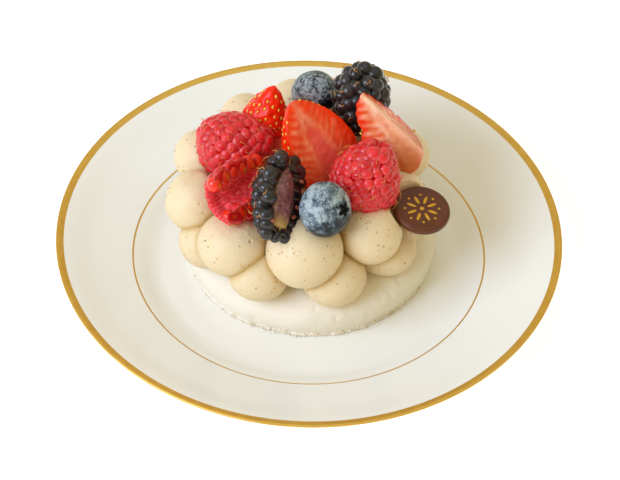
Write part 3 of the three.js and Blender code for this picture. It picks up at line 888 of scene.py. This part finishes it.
def drupelets(berry, seed):
    """Each drupelet's middle, frame and size in the berry's own axes. They lie on a spiral, uneven in
    place and size, with their tops on the berry's outline."""
    kind = KINDS[berry["kind"]]
    random = np.random.default_rng(seed)
    turn, t, radius = spiral_spots(lambda t: cluster_radius(berry, t), berry["length"], berry["spacing"])
    count = len(turn)
    t = np.clip(t + random.uniform(-0.55, 0.55, count) / berry["length"], 0.01, 0.99)
    radius = cluster_radius(berry, t)
    step = 0.004
    gain = cluster_radius(berry, t + step) - cluster_radius(berry, t - step)
    rise = unit(np.stack([gain, np.full(count, 2 * step * berry["length"])], -1))
    turn = turn + random.uniform(-0.55, 0.55, count) / np.maximum(radius, 3)
    outward = wheeled(rise[:, 1], turn, -rise[:, 0])
    tops = wheeled(radius, turn, (t - 0.5) * berry["length"])
    wide = berry["spacing"] * kind["wide"] * random.uniform(0.84, 1.14, count) * (1 + 0.25 * bell(t, 0.12))
    tall = wide * kind["tall"] * random.uniform(0.92, 1.08, count)
    middles = tops - outward * (tall + random.uniform(-0.25, 0.35, count))[:, None]
    frames = facing_frames(outward, random.uniform(0, 6.3, count))
    sizes = np.stack([wide, wide * random.uniform(0.78, 1.0, count), tall], -1)
    if berry["cut"]:
        kept = middles[:, 1] > np.where(middles[:, 0] < 0, kind["ahead"], -0.2)
        if berry["kind"] == "bramble":
            off_core = np.abs(middles - (CORE_ASIDE, 0, -1.6)) > (4.6, 0, 9.8)
            kept &= off_core[:, 0] | (middles[:, 1] > 3) | off_core[:, 2]
        middles, frames, sizes = middles[kept], frames[kept], sizes[kept]
    return middles, frames, sizes, random


BEAD = woven(marked(ball(12, 7), ball(12, 7)[..., 2]))


def berry_beads(berry, seed):
    """The drupelets. On a cut berry some are sliced at the face: what was in front of it is pressed
    back to a seventh. Marks: height on the drupelet, a number of its own that is lowered towards the
    stem end as painted shade, how far past the cut, nearness to a seed, and the finish."""
    middles, frames, sizes, random = drupelets(berry, seed)
    count = len(middles)
    # Each drupelet's own number is random, and it is lowered towards the stem end so that the skin goes
    # darker there: painted shade.
    own = random.uniform(0, 1, count) * np.clip(0.8 + 2 * middles[:, 2] / berry["length"], 0.1, 1)
    zero = np.zeros(count)
    points, triangles = many(BEAD, middles, frames, sizes, marks=np.stack([own, zero, zero, zero + SKIN], -1))
    if berry["cut"]:
        sliced = (middles[:, 0] > 0) | (berry["kind"] == "raspberry")
        front = np.repeat(sliced, len(BEAD[0])) & (points[:, 1] < 0)
        points[front, 5] = np.clip(-points[front, 1] / 0.5, 0, 1)
        points[front, 1] /= 7
    return points, triangles


def with_marks(grid, crown=0.5, own=0.5, opened=0.0, near_seed=0.0, coat=SKIN):
    """A grid with the five marks of a berry added."""
    return marked(grid, crown, own, opened, near_seed, coat)


def cluster_core(berry):
    """The body under the drupelets: the outline drawn in by 2 mm or more."""
    inset = KINDS[berry["kind"]]["inset"]
    t = np.linspace(0, 1, 25)
    radius = np.maximum(cluster_radius(berry, t) - inset, 0)
    line = np.stack([radius, (t - 0.5) * (berry["length"] - 2 * inset)], -1)
    line[[0, -1], 0] = 0
    # Its low crown mark gives a raspberry's core the painted shade of the creases.
    return woven(with_marks(turned(line, 40), crown=0.2))


def half_body(line, columns, ridged=False):
    """Half of a hollow body of revolution, behind the cut. Its line runs from the tip down the outside,
    over the lip at its middle point and up the hollow. Each cut wall is a strip that joins points of the
    same rank on both. With ridged, arches like fingers side by side, 0.5 mm high, cross the lip, and
    pimples cover the hollow."""
    turn = np.linspace(0, math.pi, columns + 1)
    out, up = line[:, :1], line[:, 1:2]
    grid = wheeled(out, turn, up)
    rank = np.arange(len(line)) / (len(line) - 1)
    crown = np.full(grid.shape[:2], 0.3)
    coat = np.where(rank > 0.66, VELVET, SKIN)
    if ridged:
        across = (FINGERS * turn / math.pi) % 1 * 2 - 1
        arch = np.sqrt(np.clip(1 - across**2, 0, 1)) * np.exp(-(((rank - 0.53) / 0.13) ** 4))[:, None]
        heading = unit(np.gradient(line, axis=0))
        normal = wheeled(-heading[:, 1:], turn, heading[:, :1])
        pimples = np.clip((rank - 0.62) / 0.08, 0, 1)[:, None] * np.clip(np.sin(turn) * 4, 0, 1)
        pimples = pimples * (0.5 * lumps(grid, 1.1, 70) + 0.25 * lumps(grid, 2.6, 71)) * (out > 0.1)
        uneven = 1 + 0.3 * lumps(grid, 2.5, 72)
        grid = grid + normal * (0.42 * arch * uneven + pimples)[..., None]
        # The gaps between the fingers take part of the painted shade of the creases and the pale ring.
        crown = 0.55 + 0.35 * arch
    skin = with_marks(grid, crown=crown, own=0.5 + 0.5 * lumps(grid, 1.4, 77), coat=coat[:, None])
    skin[..., 1] *= 0.88
    parts = [woven(skin[::-1], wrap=False)]
    half = len(line) // 2
    share = np.linspace(0, 1, 13)[:, None]
    for column in (0, -1):
        outside, inside = grid[: half + 1, column], grid[half:, column][::-1]
        strip = outside[:, None] * (1 - share) + inside[:, None] * share
        strip = strip if column == 0 else strip[:, ::-1]
        parts.append(woven(with_marks(strip, crown=0.7, coat=FLESH), wrap=False))
    return joined(parts)


def cells(middles, sizes, seed_at, lift):
    """Opened cells on a cut face: ellipsoids lying in the face, long across the wall, that bulge out of
    it by their lift. A seed glows through each where seed_at says, fading as a bell curve."""
    shape = woven(marked(ball(22, 14), 0.7))
    count = len(middles)
    frames = np.tile([[1.0, 0, 0], [0, 0, 1.0], [0, -1.0, 0]], (count, 1, 1))
    places = np.stack([middles[:, 0], sizes[:, 2] - lift, middles[:, 1]], -1)
    marks = np.stack([middles[:, 1] % 1, np.ones(count), np.zeros(count), np.full(count, FLESH)], -1)
    points, triangles = many(shape, places, frames, sizes, marks=marks)
    nearest = np.linalg.norm((points[:, None, [0, 2]] - seed_at) / (1.0, 0.6), axis=-1).min(axis=1)
    points[:, 6] = np.exp(-(nearest**3))
    return points, triangles


FINGERS = 13
# The halved raspberry's wall: down its outside, over its flared lip and up the hollow.
RASPBERRY_LINE = [
    (0, 10.4, 1), (5.6, 8.4, 6), (7.8, 4.0, 6), (8.4, -2.0, 6), (8.3, -7.5, 6), (7.9, -10.4, 8),
    (6.8, -11.9, 6), (5.5, -10.9, 6), (4.7, -8.6, 7), (4.2, -5.5, 6), (4.3, 0.0, 7), (3.8, 4.5, 5),
    (2.6, 7.0, 4), (0, 8.0, 3),
]


def raspberry_cells():
    """Two rows of cells, up both cut walls from the mouth, and a seed in most of them."""
    upper = [(-5.2, -11.0), (-6.3, -7.2), (-6.3, -3.3), (-6.2, 0.6), (-6.0, 4.4), (-5.2, 7.8)]
    lower = [(6.3, -9.6), (6.6, -5.2), (6.4, -1.0), (6.1, 3.0)]
    seeds = [(-4.2, -10.8), (-5.7, -6.6), (-5.2, 1.0), (-5.1, 4.9), (-4.0, 7.8)]
    seeds += [(6.9, -8.6), (7.1, -4.2), (5.6, -0.5)]
    middles = np.array(upper + lower)
    sizes = np.tile([3.0, 2.3, 1.7], (len(middles), 1))
    sizes[[0, 6]] = (2.5, 2.4, 2.2)
    return cells(middles, sizes, np.array(seeds), lift=0.45)


def core_radius(t):
    """The bramble core's radius at t, from its blunt stem end 0 to its tip 1: a quarter sine that
    swells to t = 0.45, less a power curve beyond it."""
    swell = 0.62 + 0.38 * np.sin(np.clip(t / 0.45, 0, 1) * math.pi / 2)
    return CORE_RADIUS * swell * (1 - np.clip((t - 0.45) / 0.55, 0, 1) ** 2.4)


NO_SEEDS = np.array([[50.0, 50.0]])  # a place too far off to show


def bramble_cells():
    """Two rows of opened cells between the core and the skin: plump and whole on the left, where the
    knife passed beside them, and sunken on the right."""
    parts = []
    random = np.random.default_rng(74)
    for side, depth, lift in ((-1, 2.0, 1.5), (1, 1.7, 0.75)):
        z = np.arange(-10.5, 11.5, 3.3) + random.uniform(-0.3, 0.3, 7)
        t = np.clip((z - CORE_ENDS[0]) / (CORE_ENDS[1] - CORE_ENDS[0]), 0, 1)
        inside = core_radius(t) + side * CORE_ASIDE
        outside = cluster_radius(BRAMBLE, z / BRAMBLE["length"] + 0.5) - 1.2
        middles = np.stack([side * (inside + outside) / 2, z], -1)
        wide = np.maximum((outside - inside) / 2 + 0.35, 1.2)
        sizes = np.stack([wide, random.uniform(1.6, 1.9, 7), np.full(7, depth)], -1)
        part = cells(middles, sizes, NO_SEEDS, lift)
        if side < 0:
            part[0][:, 5], part[0][:, 7] = 0.0, SKIN
        parts.append(part)
    return joined(parts)


def bramble_foot():
    """The plump drupelets about the core's foot, which the knife passed beside."""
    middles = [(-5.6, 0.3, -11.0), (-4.0, 1.6, -13.4), (-0.4, 0.9, -13.2)]
    middles += [(3.6, 1.2, -12.4), (6.3, 0.9, -8.6)]
    sizes = np.array([(2.4, 1.9, 1.9), (2.7, 2.0, 2.0), (1.8, 2.3, 1.9), (2.5, 2.0, 2.0), (2.0, 2.5, 1.9)])
    frames = facing_frames(np.tile([0, -1.0, 0], (5, 1)), np.zeros(5))
    marks = np.array([(own, 0, 0, SKIN) for own in (0.2, 0.9, 0.5, 0.3, 0.7)])
    return many(BEAD, np.array(middles), frames, sizes, marks=marks)


def bramble_body():
    """The dark wall behind the cells, filled to the middle."""
    t = np.linspace(1, 0, 30)
    radius = np.maximum(cluster_radius(BRAMBLE, t) - 2.4, 0)
    outside = np.stack([radius, (t - 0.5) * (BRAMBLE["length"] - 4.8)], -1)
    outside[[0, -1], 0] = 0
    inside = outside[::-1] * (0, 1)
    return half_body(np.concatenate([outside, inside[1:]]), 40)


def bramble_core():
    """The spongy core of the halved bramble, a spindle that stands out of the face by six tenths of its
    thickness. Its marks run from stem 0 to tip 1, and from its middle 0 to its sides 1."""
    t = np.linspace(0, 1, 70)
    radius = core_radius(t) * np.clip(t / 0.03, 0, 1) ** 0.5
    z = CORE_ENDS[0] + t * (CORE_ENDS[1] - CORE_ENDS[0])
    grid = turned(np.stack([radius, z], -1), 56)
    grid[..., :2] *= (1 + 0.07 * lumps(grid, 2.0, 75) + 0.03 * lumps(grid, 0.9, 76))[..., None]
    grid[[0, -1], :, :2] = 0
    rim = np.abs(grid[..., 0]) / np.maximum(radius, 0.3)[:, None]
    grid[..., 1] *= np.where(grid[..., 1] < 0, 0.55, 1)
    grid += (CORE_ASIDE, -0.35, 0)
    return woven(marked(grid, t[:, None], rim))


# Raspberry skin: soft rose red and translucent. Painted shade makes it a deeper, darker red in its
# creases and towards the stem end. A fine down frosts the shoulders of each drupelet: a pale ring,
# partly the down's own colour and partly a painted sheen.
raspberry_skin, tree, shader = finish(
    "downy_raspberry_skin",
    {
        "IOR": 1.38, "Subsurface Weight": 0.3, "Subsurface Radius": (1.0, 0.12, 0.1),
        "Subsurface Scale": 0.0015, "Sheen Weight": 0.06, "Sheen Roughness": 0.4, "Sheen Tint": "#ffd9d6",
        "Coat Weight": 0.25, "Coat Roughness": 0.08,
    },
)
cloud = add(tree, "TexNoise", {"Scale": 1000 / 5, "Detail": 3.0})
# The drupelet's own number is random tone, and lower towards the stem end, which darkens the red there as
# painted shade.
mixed = add(tree, "Math", {"operation": "MULTIPLY_ADD", 1: 0.5, 2: -0.05}, {0: "own"})
mixed = add(tree, "Math", {"operation": "ADD"}, {0: mixed, 1: cloud})
mixed = add(tree, "MapRange", {"From Min": 0.3, "From Max": 1.0}, {"Value": mixed})
shade = add(tree, "Mix", {6: "#c40c18", 7: "#e82c32"}, {0: mixed})
# Painted shade in the creases: low on each drupelet the red turns deeper and darker.
painted_crease_shade = add(
    tree, "MapRange", {"From Min": 0.3, "From Max": 0.85, "interpolation_type": "SMOOTHSTEP"},
    {"Value": "crown"},
)
shade = add(tree, "Mix", {6: "#d6060f"}, {0: painted_crease_shade, 7: shade})
# A pale ring round each drupelet's shoulder: partly the down's own colour, partly a painted sheen.
shoulder = add(tree, "Math", {"operation": "SUBTRACT", 1: 0.62}, {0: "crown"})
shoulder = add(tree, "Math", {"operation": "ABSOLUTE"}, {0: shoulder})
shoulder = add(
    tree, "MapRange", {"From Max": 0.24, "To Min": 0.44, "To Max": 0.0, "interpolation_type": "SMOOTHSTEP"},
    {"Value": shoulder},
)
down = add(tree, "TexNoise", {"Scale": 1000 / 0.9, "Detail": 4.0, "Roughness": 0.65})
patchy = add(tree, "MapRange", {"From Min": 0.36, "From Max": 0.66}, {"Value": down})
down_and_painted_sheen = add(tree, "Math", {"operation": "MULTIPLY"}, {0: shoulder, 1: patchy})
shade = add(tree, "Mix", {7: "#f4908c"}, {0: down_and_painted_sheen, 6: shade})
gloss = add(
    tree, "MapRange", {"From Min": 0.35, "From Max": 0.65, "To Min": 0.2, "To Max": 0.5}, {"Value": cloud},
)
fuzz = add(tree, "Bump", {"Strength": 0.35, "Distance": 0.0002}, {"Height": down})
feed(shader, {"Base Color": shade, "Roughness": gloss, "Normal": fuzz})

# Raspberry hollow: pink velvet with a pimple at the foot of each drupelet, left by the stem.
raspberry_hollow, tree, shader = finish(
    "raspberry_hollow",
    {"Roughness": 0.5, "Sheen Weight": 0.12, "Sheen Roughness": 0.5, "Sheen Tint": "#ffdcd8"},
)
patch = add(tree, "TexNoise", {"Scale": 1000 / 0.9, "Detail": 2.0})
spread = add(tree, "MapRange", {"From Min": 0.42, "From Max": 0.7}, {"Value": patch})
shade = add(tree, "Mix", {6: "#f01a2a", 7: "#fc6c6e"}, {0: spread})
nap = add(tree, "Bump", {"Strength": 0.6, "Distance": 0.0003}, {"Height": patch})
feed(shader, {"Base Color": shade, "Normal": nap})

# Raspberry flesh: wet scarlet jelly with an amber glow where a seed lies under it, and pink skin
# between its cells.
raspberry_flesh, tree, shader = finish(
    "wet_raspberry_flesh",
    {
        "Roughness": 0.14, "IOR": 1.38, "Subsurface Weight": 0.4, "Subsurface Radius": (1.0, 0.15, 0.05),
        "Subsurface Scale": 0.002, "Coat Weight": 0.5, "Coat Roughness": 0.06,
    },
)
cloud = add(tree, "TexNoise", {"Scale": 1000 / 2, "Detail": 3.0})
shade = add(tree, "Mix", {6: "#f00c0c", 7: "#ff3a16"}, {0: cloud})
shade = add(tree, "Mix", {6: "#ee3a34"}, {0: "opened", 7: shade})
shade = add(tree, "Mix", {7: "#fb7c1e"}, {0: "near_seed", 6: shade})
feed(shader, {"Base Color": shade})

# Bramble skin: taut and glossy, black with a breath of purple brown, and painted darker towards the stem end
# as shade.
bramble_skin, tree, shader = finish(
    "glossy_bramble_skin",
    {"IOR": 1.45, "Specular Tint": "#f4f0ea", "Coat Weight": 0.35, "Coat Roughness": 0.1},
)
cloud = add(tree, "TexNoise", {"Scale": 1000 / 3, "Detail": 4.0})
# The drupelet's own number is random tone, and lower towards the stem end, which darkens it there as painted
# shade.
mixed = add(tree, "Math", {"operation": "MULTIPLY"}, {0: "own", 1: cloud})
shade = add(tree, "Mix", {6: "#121317", 7: "#383333"}, {0: mixed})
bloom = add(
    tree, "MapRange", {"From Min": 0.3, "From Max": 0.7, "To Min": 0.2, "To Max": 0.38}, {"Value": cloud},
)
feed(shader, {"Base Color": shade, "Roughness": bloom})

# Bramble flesh: the dark wine-coloured inside of the opened cells, wet.
bramble_flesh = two_toned(
    "wet_bramble_flesh", {"Roughness": 0.2, "IOR": 1.38, "Coat Weight": 0.4},
    1.5, "#0c0a0c", "#3b2024", Detail=4.0,
)

# Bramble core: spongy and fibrous, wine-brown with pale grains, straw-coloured at its sides and stem.
spongy_core, tree, shader = finish(
    "spongy_bramble_core", {"Roughness": 0.45, "Subsurface Weight": 0.15, "Subsurface Scale": 0.001}
)
fibre = add(tree, "TexNoise", {"Scale": 1000 / 1.2, "Detail": 5.0, "Roughness": 0.65})
grains = add(tree, "MapRange", {"From Min": 0.42, "From Max": 0.68}, {"Value": fibre})
shade = add(tree, "Mix", {6: "#622c34", 7: "#9d6660"}, {0: grains})
straw = add(
    tree, "MapRange", {"From Min": 0.24, "From Max": 0.02, "interpolation_type": "SMOOTHSTEP"},
    {"Value": "along"},
)
border = add(tree, "MapRange", {"From Min": 0.8, "From Max": 1.0, "To Max": 0.35}, {"Value": "side"})
pale = add(tree, "Math", {"operation": "MAXIMUM"}, {0: straw, 1: border})
shade = add(tree, "Mix", {7: "#a98748"}, {0: pale, 6: shade})
weave = add(tree, "Bump", {"Strength": 0.5, "Distance": 0.0003}, {"Height": fibre})
feed(shader, {"Base Color": shade, "Normal": weave})

COATS = {
    "raspberry": [raspberry_skin, raspberry_hollow, raspberry_flesh],
    "bramble": [bramble_skin, spongy_core, bramble_flesh],
}
for number, (name, berry) in enumerate(CLUSTERS.items()):
    parts = [berry_beads(berry, 80 + number)]
    if name == "raspberry_half":
        parts += [half_body(flowing(RASPBERRY_LINE), 12 * FINGERS, ridged=True), raspberry_cells()]
    elif name == "bramble_half":
        parts += [bramble_body(), bramble_cells(), bramble_foot()]
    else:
        parts.append(cluster_core(berry))
    piece(
        "cluster_" + name, moved(joined(parts), berry), COATS[berry["kind"]], nodes=[name],
        marks=["crown", "own", "opened", "near_seed"], pick=lambda middles: np.round(middles[:, 7]),
    )
piece("bramble_core", moved(bramble_core(), BRAMBLE), [spongy_core], marks=["along", "side"])


def bramble_seeds():
    """The seeds that the knife laid bare, four right of the core and one left of its foot."""
    spots = [(5.4, -0.95, 6.0), (6.5, -0.95, 3.1), (5.1, -0.95, -2.4), (4.2, -0.95, -5.8), (-5.0, -1.5, -9.8)]
    frames = facing_frames(np.tile([0, -1.0, 0], (5, 1)), np.array([0.3, 1.4, 0.2, 1.0, 0.6]))
    sizes = np.tile([0.95, 0.62, 0.5], (5, 1))
    return many(woven(ball(12, 8)), np.array(spots), frames, sizes)


# Bramble seed: hard, rust brown, wet with juice.
bramble_seed = two_toned("bramble_seed", {"Roughness": 0.3}, 1.5, "#7c3322", "#bd6a4c")
piece("bramble_seeds", moved(bramble_seeds(), BRAMBLE), [bramble_seed])


# ---- Berry hairs ----------------------------------------------------------------------------------
# Each drupelet may keep the dried style of its flower: a stiff, curled, tawny hair two to four
# millimetres long, standing from the drupelet's top.


def hair_part(seed):
    """Tubes of four sides along curled paths. A path leaves its drupelet's top along the way out, then
    bends over sideways by a quadratic and wavers by a sine."""
    random = np.random.default_rng(seed)
    parts = []
    for number, berry in enumerate(CLUSTERS.values()):
        middles, frames, sizes, _ = drupelets(berry, 80 + number)
        kind = KINDS[berry["kind"]]
        kept = random.uniform(size=len(middles)) < kind["hairy"]
        middles, frames, sizes = middles[kept], frames[kept], sizes[kept]
        count = len(middles)
        outward = frames[:, 2]
        roots = middles + outward * sizes[:, 2:] * 0.97
        short, long, thick = kind["hair"]
        length = random.uniform(short, long, count)[:, None, None]
        s = np.linspace(0, 1, 8)[None, :, None]
        lift = outward[:, None] * length * (0.55 * s - 0.3 * s**2)
        lean = random.uniform(0, 6.3, count)
        ahead = np.cos(lean)[:, None] * frames[:, 0] + np.sin(lean)[:, None] * frames[:, 1]
        sideways = np.cross(outward, ahead)
        waver = 0.12 * np.sin(s * random.uniform(4, 9, count)[:, None, None] + lean[:, None, None])
        path = roots[:, None] + lift + ahead[:, None] * length * (0.25 * s + 0.55 * s**2)
        path = path + sideways[:, None] * length * waver
        width = thick * (1 - 0.6 * s)
        ring = np.stack([sideways, outward, -sideways, -outward], axis=1)[:, None]
        tube = path[:, :, None] + ring * width[..., None]
        ends = np.repeat(path[:, [0, -1]][:, :, None], 4, axis=2)
        tube = np.concatenate([ends[:, :1], tube, ends[:, 1:]], axis=1)
        parts.append(moved(joined([woven(strand) for strand in tube]), berry))
    return joined(parts)


# Dried style: tawny, dry and slightly shiny.
dried_style = two_toned("dried_berry_hair", {"Roughness": 0.5}, 2, "#c26c20", "#ecae58")
piece("berry_hairs", hair_part(90), [dried_style])


# ---- Blueberries ----------------------------------------------------------------------------------
# Two whole blueberries: round, a little flat from crown to stem, with the torn star of the flower at
# the crown. A grey-blue waxy bloom covers the navy skin and is rubbed off in patches.

# Each berry's last entry is the way, in its own axes, to the side where its bloom is rubbed thin and painted
# shade darkens it.
BLUEBERRIES = {
    "blueberry_front": dict(
        at=(4.7, -20.9, 50.3), axis=(0.77, -0.435, 0.456), radius=8.7, flat=0.86, worn=(0.25, -0.72, -0.64)
    ),
    "blueberry_back": dict(
        at=(0.6, 33.4, 46.7), axis=(0.2, 0.93, -0.3), radius=7.4, flat=0.92, worn=(0.7, -0.45, -0.55)
    ),
}


def blueberry_part(berry, seed):
    """A flattened ball. Round its crown a torn rim stands up 0.5 mm, with five points, about a pit
    1.2 mm deep. The marks are 1 in the pit and on the rim, and how far a point lies towards the side where
    the bloom is rubbed thin and painted shade darkens it."""
    way = ball(120, 90)
    turn = np.arctan2(way[..., 1], way[..., 0])
    from_crown = np.arccos(np.clip(way[..., 2], -1, 1)) * berry["radius"]
    ragged = 2.05 + 0.5 * np.cos(5 * turn + 0.4) + 0.25 * lumps(way * berry["radius"], 1.1, seed)
    rim = 0.5 * bell(from_crown - ragged, 0.42)
    pit = 1.2 / (1 + np.exp((from_crown - ragged + 0.45) / 0.14))
    stalk = 0.6 * bell(math.pi * berry["radius"] - from_crown, 1.1)
    skin = 0.12 * lumps(way * berry["radius"], 4, seed + 1)
    size = berry["radius"] + rim - pit - stalk + skin
    inside = 1 / (1 + np.exp((from_crown - ragged - 0.1) / 0.06))
    grid = way * size[..., None] * (1, 1, berry["flat"])
    # Towards one side the bloom thins to dark navy: partly rubbed bloom, partly painted shade.
    worn = np.clip((way @ unit(own_axes(berry) @ np.array(berry["worn"])) - 0.25) / 0.5, 0, 1)
    return woven(marked(grid, inside, worn * worn * (3 - 2 * worn)))


def bloom_finish(name, navy, haze, wax, rubbed, soft, fine_part, rub_and_shade):
    """Blueberry skin: dull waxy bloom over smooth navy, rubbed away in streaky patches, most of all on
    one side, where painted shade darkens it too. soft is how gently it fades, fine_part the share of fine
    mottling."""
    made, tree, shader = finish(name, {"IOR": 1.42, "Specular IOR Level": 0.4})
    warp = add(tree, "Mapping", {"Scale": (1.0, 0.75, 1.3)})
    patches = {"Scale": 1000 / 4.2, "Detail": 8.0, "Roughness": 0.7, "Distortion": 0.5}
    broad = add(tree, "TexNoise", patches, {"Vector": warp})
    fine = add(tree, "TexNoise", {"Scale": 1000 / 0.9, "Detail": 4.0, "Roughness": 0.7})
    both = add(tree, "Math", {"operation": "MULTIPLY_ADD", 1: fine_part}, {0: fine, 2: broad})
    both = add(tree, "Math", {"operation": "MULTIPLY_ADD", 1: -rub_and_shade}, {0: "worn", 2: both})
    bloom = add(tree, "MapRange", {"From Min": rubbed, "From Max": rubbed + soft}, {"Value": both})
    ramp = add(tree, "ValToRGB", {}, {0: bloom})
    stops = ramp.node.color_ramp.elements
    stops[0].color, stops[1].color = colour(navy), colour(wax)
    stops.new(0.5).color = colour(haze)
    shade = add(tree, "Mix", {7: "#0d0f12"}, {0: "crown", 6: ramp})
    dull = add(tree, "MapRange", {"To Min": 0.3, "To Max": 0.68}, {"Value": bloom})
    feed(shader, {"Base Color": shade, "Roughness": dull})
    return made


pale_bloom = bloom_finish(
    "pale_waxy_bloom", "#181d22", "#566671", "#a6b4b5", rubbed=0.56, soft=0.26, fine_part=0.5, rub_and_shade=0.22
)
dark_bloom = bloom_finish(
    "thin_waxy_bloom", "#141518", "#4a5156", "#9ea6a6", rubbed=0.86, soft=0.34, fine_part=1.2, rub_and_shade=0.5
)
for number, (name, berry) in enumerate(BLUEBERRIES.items()):
    piece(
        "bloomed_" + name, moved(blueberry_part(berry, 95 + number), berry),
        [dark_bloom if name == "blueberry_back" else pale_bloom], nodes=[name],
        marks=["crown", "worn"],
    )


# ---- Chocolate disc -------------------------------------------------------------------------------
# A moulded round of milk chocolate, with a soft raised edge. A plain rosette of leaves and dots in
# edible gold is printed on its face.

DISC_LINE = [
    (0, -1.1, 1), (8.6, -1.1, 6), (8.92, -0.95, 3), (9.0, -0.6, 3), (9.0, 0.2, 4), (8.75, 0.78, 4),
    (8.2, 1.08, 4), (7.5, 1.1, 4), (6.7, 0.98, 4), (5.4, 0.92, 3), (0, 0.92, 8),
]

# Milk chocolate: mid brown, tempered to a satin gloss, with a faint cloudiness.
milk_chocolate, tree, shader = finish(
    "milk_chocolate", {"IOR": 1.46, "Specular IOR Level": 0.3, "Coat Weight": 0.12, "Coat Roughness": 0.25}
)
cloud = add(tree, "TexNoise", {"Scale": 1000 / 4, "Detail": 4.0})
shade = add(tree, "Mix", {6: "#55290f", 7: "#6a381b"}, {0: cloud})
temper = add(tree, "MapRange", {"To Min": 0.3, "To Max": 0.42}, {"Value": cloud})
feed(shader, {"Base Color": shade, "Roughness": temper})
piece(
    "chocolate_round", moved(woven(turned(flowing(DISC_LINE), 120)), DISC), [milk_chocolate],
    nodes=["chocolate_disc"],
)

# Edible gold: bright ochre colour with a slight metal gloss, a tenth of a millimetre thick.
edible_gold = two_toned("edible_gold", {"Roughness": 0.42, "Metallic": 0.25}, 1.5, "#c08a12", "#e0ab20")


FACE_Z = 0.93  # how high the disc's face is over its middle


def rosette_part():
    """Eight leaves round the middle, each a flat lens 3.2 by 1 mm, a dot between each pair further
    out, and one dot in the middle."""
    lens = woven(ball(20, 8))
    turn = np.arange(8) * math.pi / 4 + 0.2
    way = wheeled(1, turn)
    frames = np.stack([way, np.cross([0, 0, 1.0], way), np.tile([0, 0, 1.0], (8, 1))], axis=1)
    leaves = many(lens, wheeled(3.5, turn, FACE_Z), frames, np.tile([1.6, 0.5, 0.1], (8, 1)))
    dot = np.concatenate([wheeled(5.4, turn + math.pi / 8, FACE_Z), [[0, 0, FACE_Z]]])
    sizes = np.tile([0.42, 0.42, 0.1], (9, 1))
    sizes[-1, :2] = 0.7
    dots = many(lens, dot, np.tile(np.eye(3), (9, 1, 1)), sizes)
    return joined([leaves, dots])


piece("gold_rosette", moved(rosette_part(), DISC), [edible_gold])


# ---- Crumbs ---------------------------------------------------------------------------------------
# Crumbs of meringue, up to a millimetre across, cling to its foot and lie beside it on the plate.


CRUMBS = 520


def crumbs_part():
    """Small uneven grains in a band round the foot, most at the front, a few of them fallen further off."""
    random = np.random.default_rng(99)
    at_front = random.uniform(size=CRUMBS) < 0.6
    turn = np.where(at_front, random.normal(-1.6, 0.5, CRUMBS), random.uniform(0, 2 * math.pi, CRUMBS))
    away = MERINGUE_FOOT + 0.4 + random.exponential(0.35, CRUMBS)
    size = random.uniform(0.1, 0.3, CRUMBS)
    up = 5.2 + 0.6 * size + random.uniform(0, 0.6, CRUMBS) * (away < MERINGUE_FOOT + 0.8)
    spots = wheeled(away, turn, up) + (*MERINGUE_AT[:2], 0)
    frames = facing_frames(np.tile([0, 0, 1.0], (CRUMBS, 1)), random.uniform(0, 6.3, CRUMBS))
    sizes = size[:, None] * random.uniform(0.6, 1.2, (CRUMBS, 3))
    points, triangles = many(GRAIN, spots, frames, sizes)
    return points + 0.12 * lumps(points, 0.5, 100)[:, None], triangles


# Crumbled meringue: ivory where it is shell, tan where it touched the paper.
crumb, tree, shader = finish("crumbled_meringue", {"Roughness": 0.8})
tint = add(tree, "TexNoise", {"Scale": 1000 / 1.2, "Detail": 3.0})
toasted = add(tree, "MapRange", {"From Min": 0.5, "From Max": 0.65}, {"Value": tint})
shade = add(tree, "Mix", {6: "#f6edda", 7: "#dcbf90"}, {0: toasted})
feed(shader, {"Base Color": shade})
piece("meringue_crumbs", crumbs_part(), [crumb])
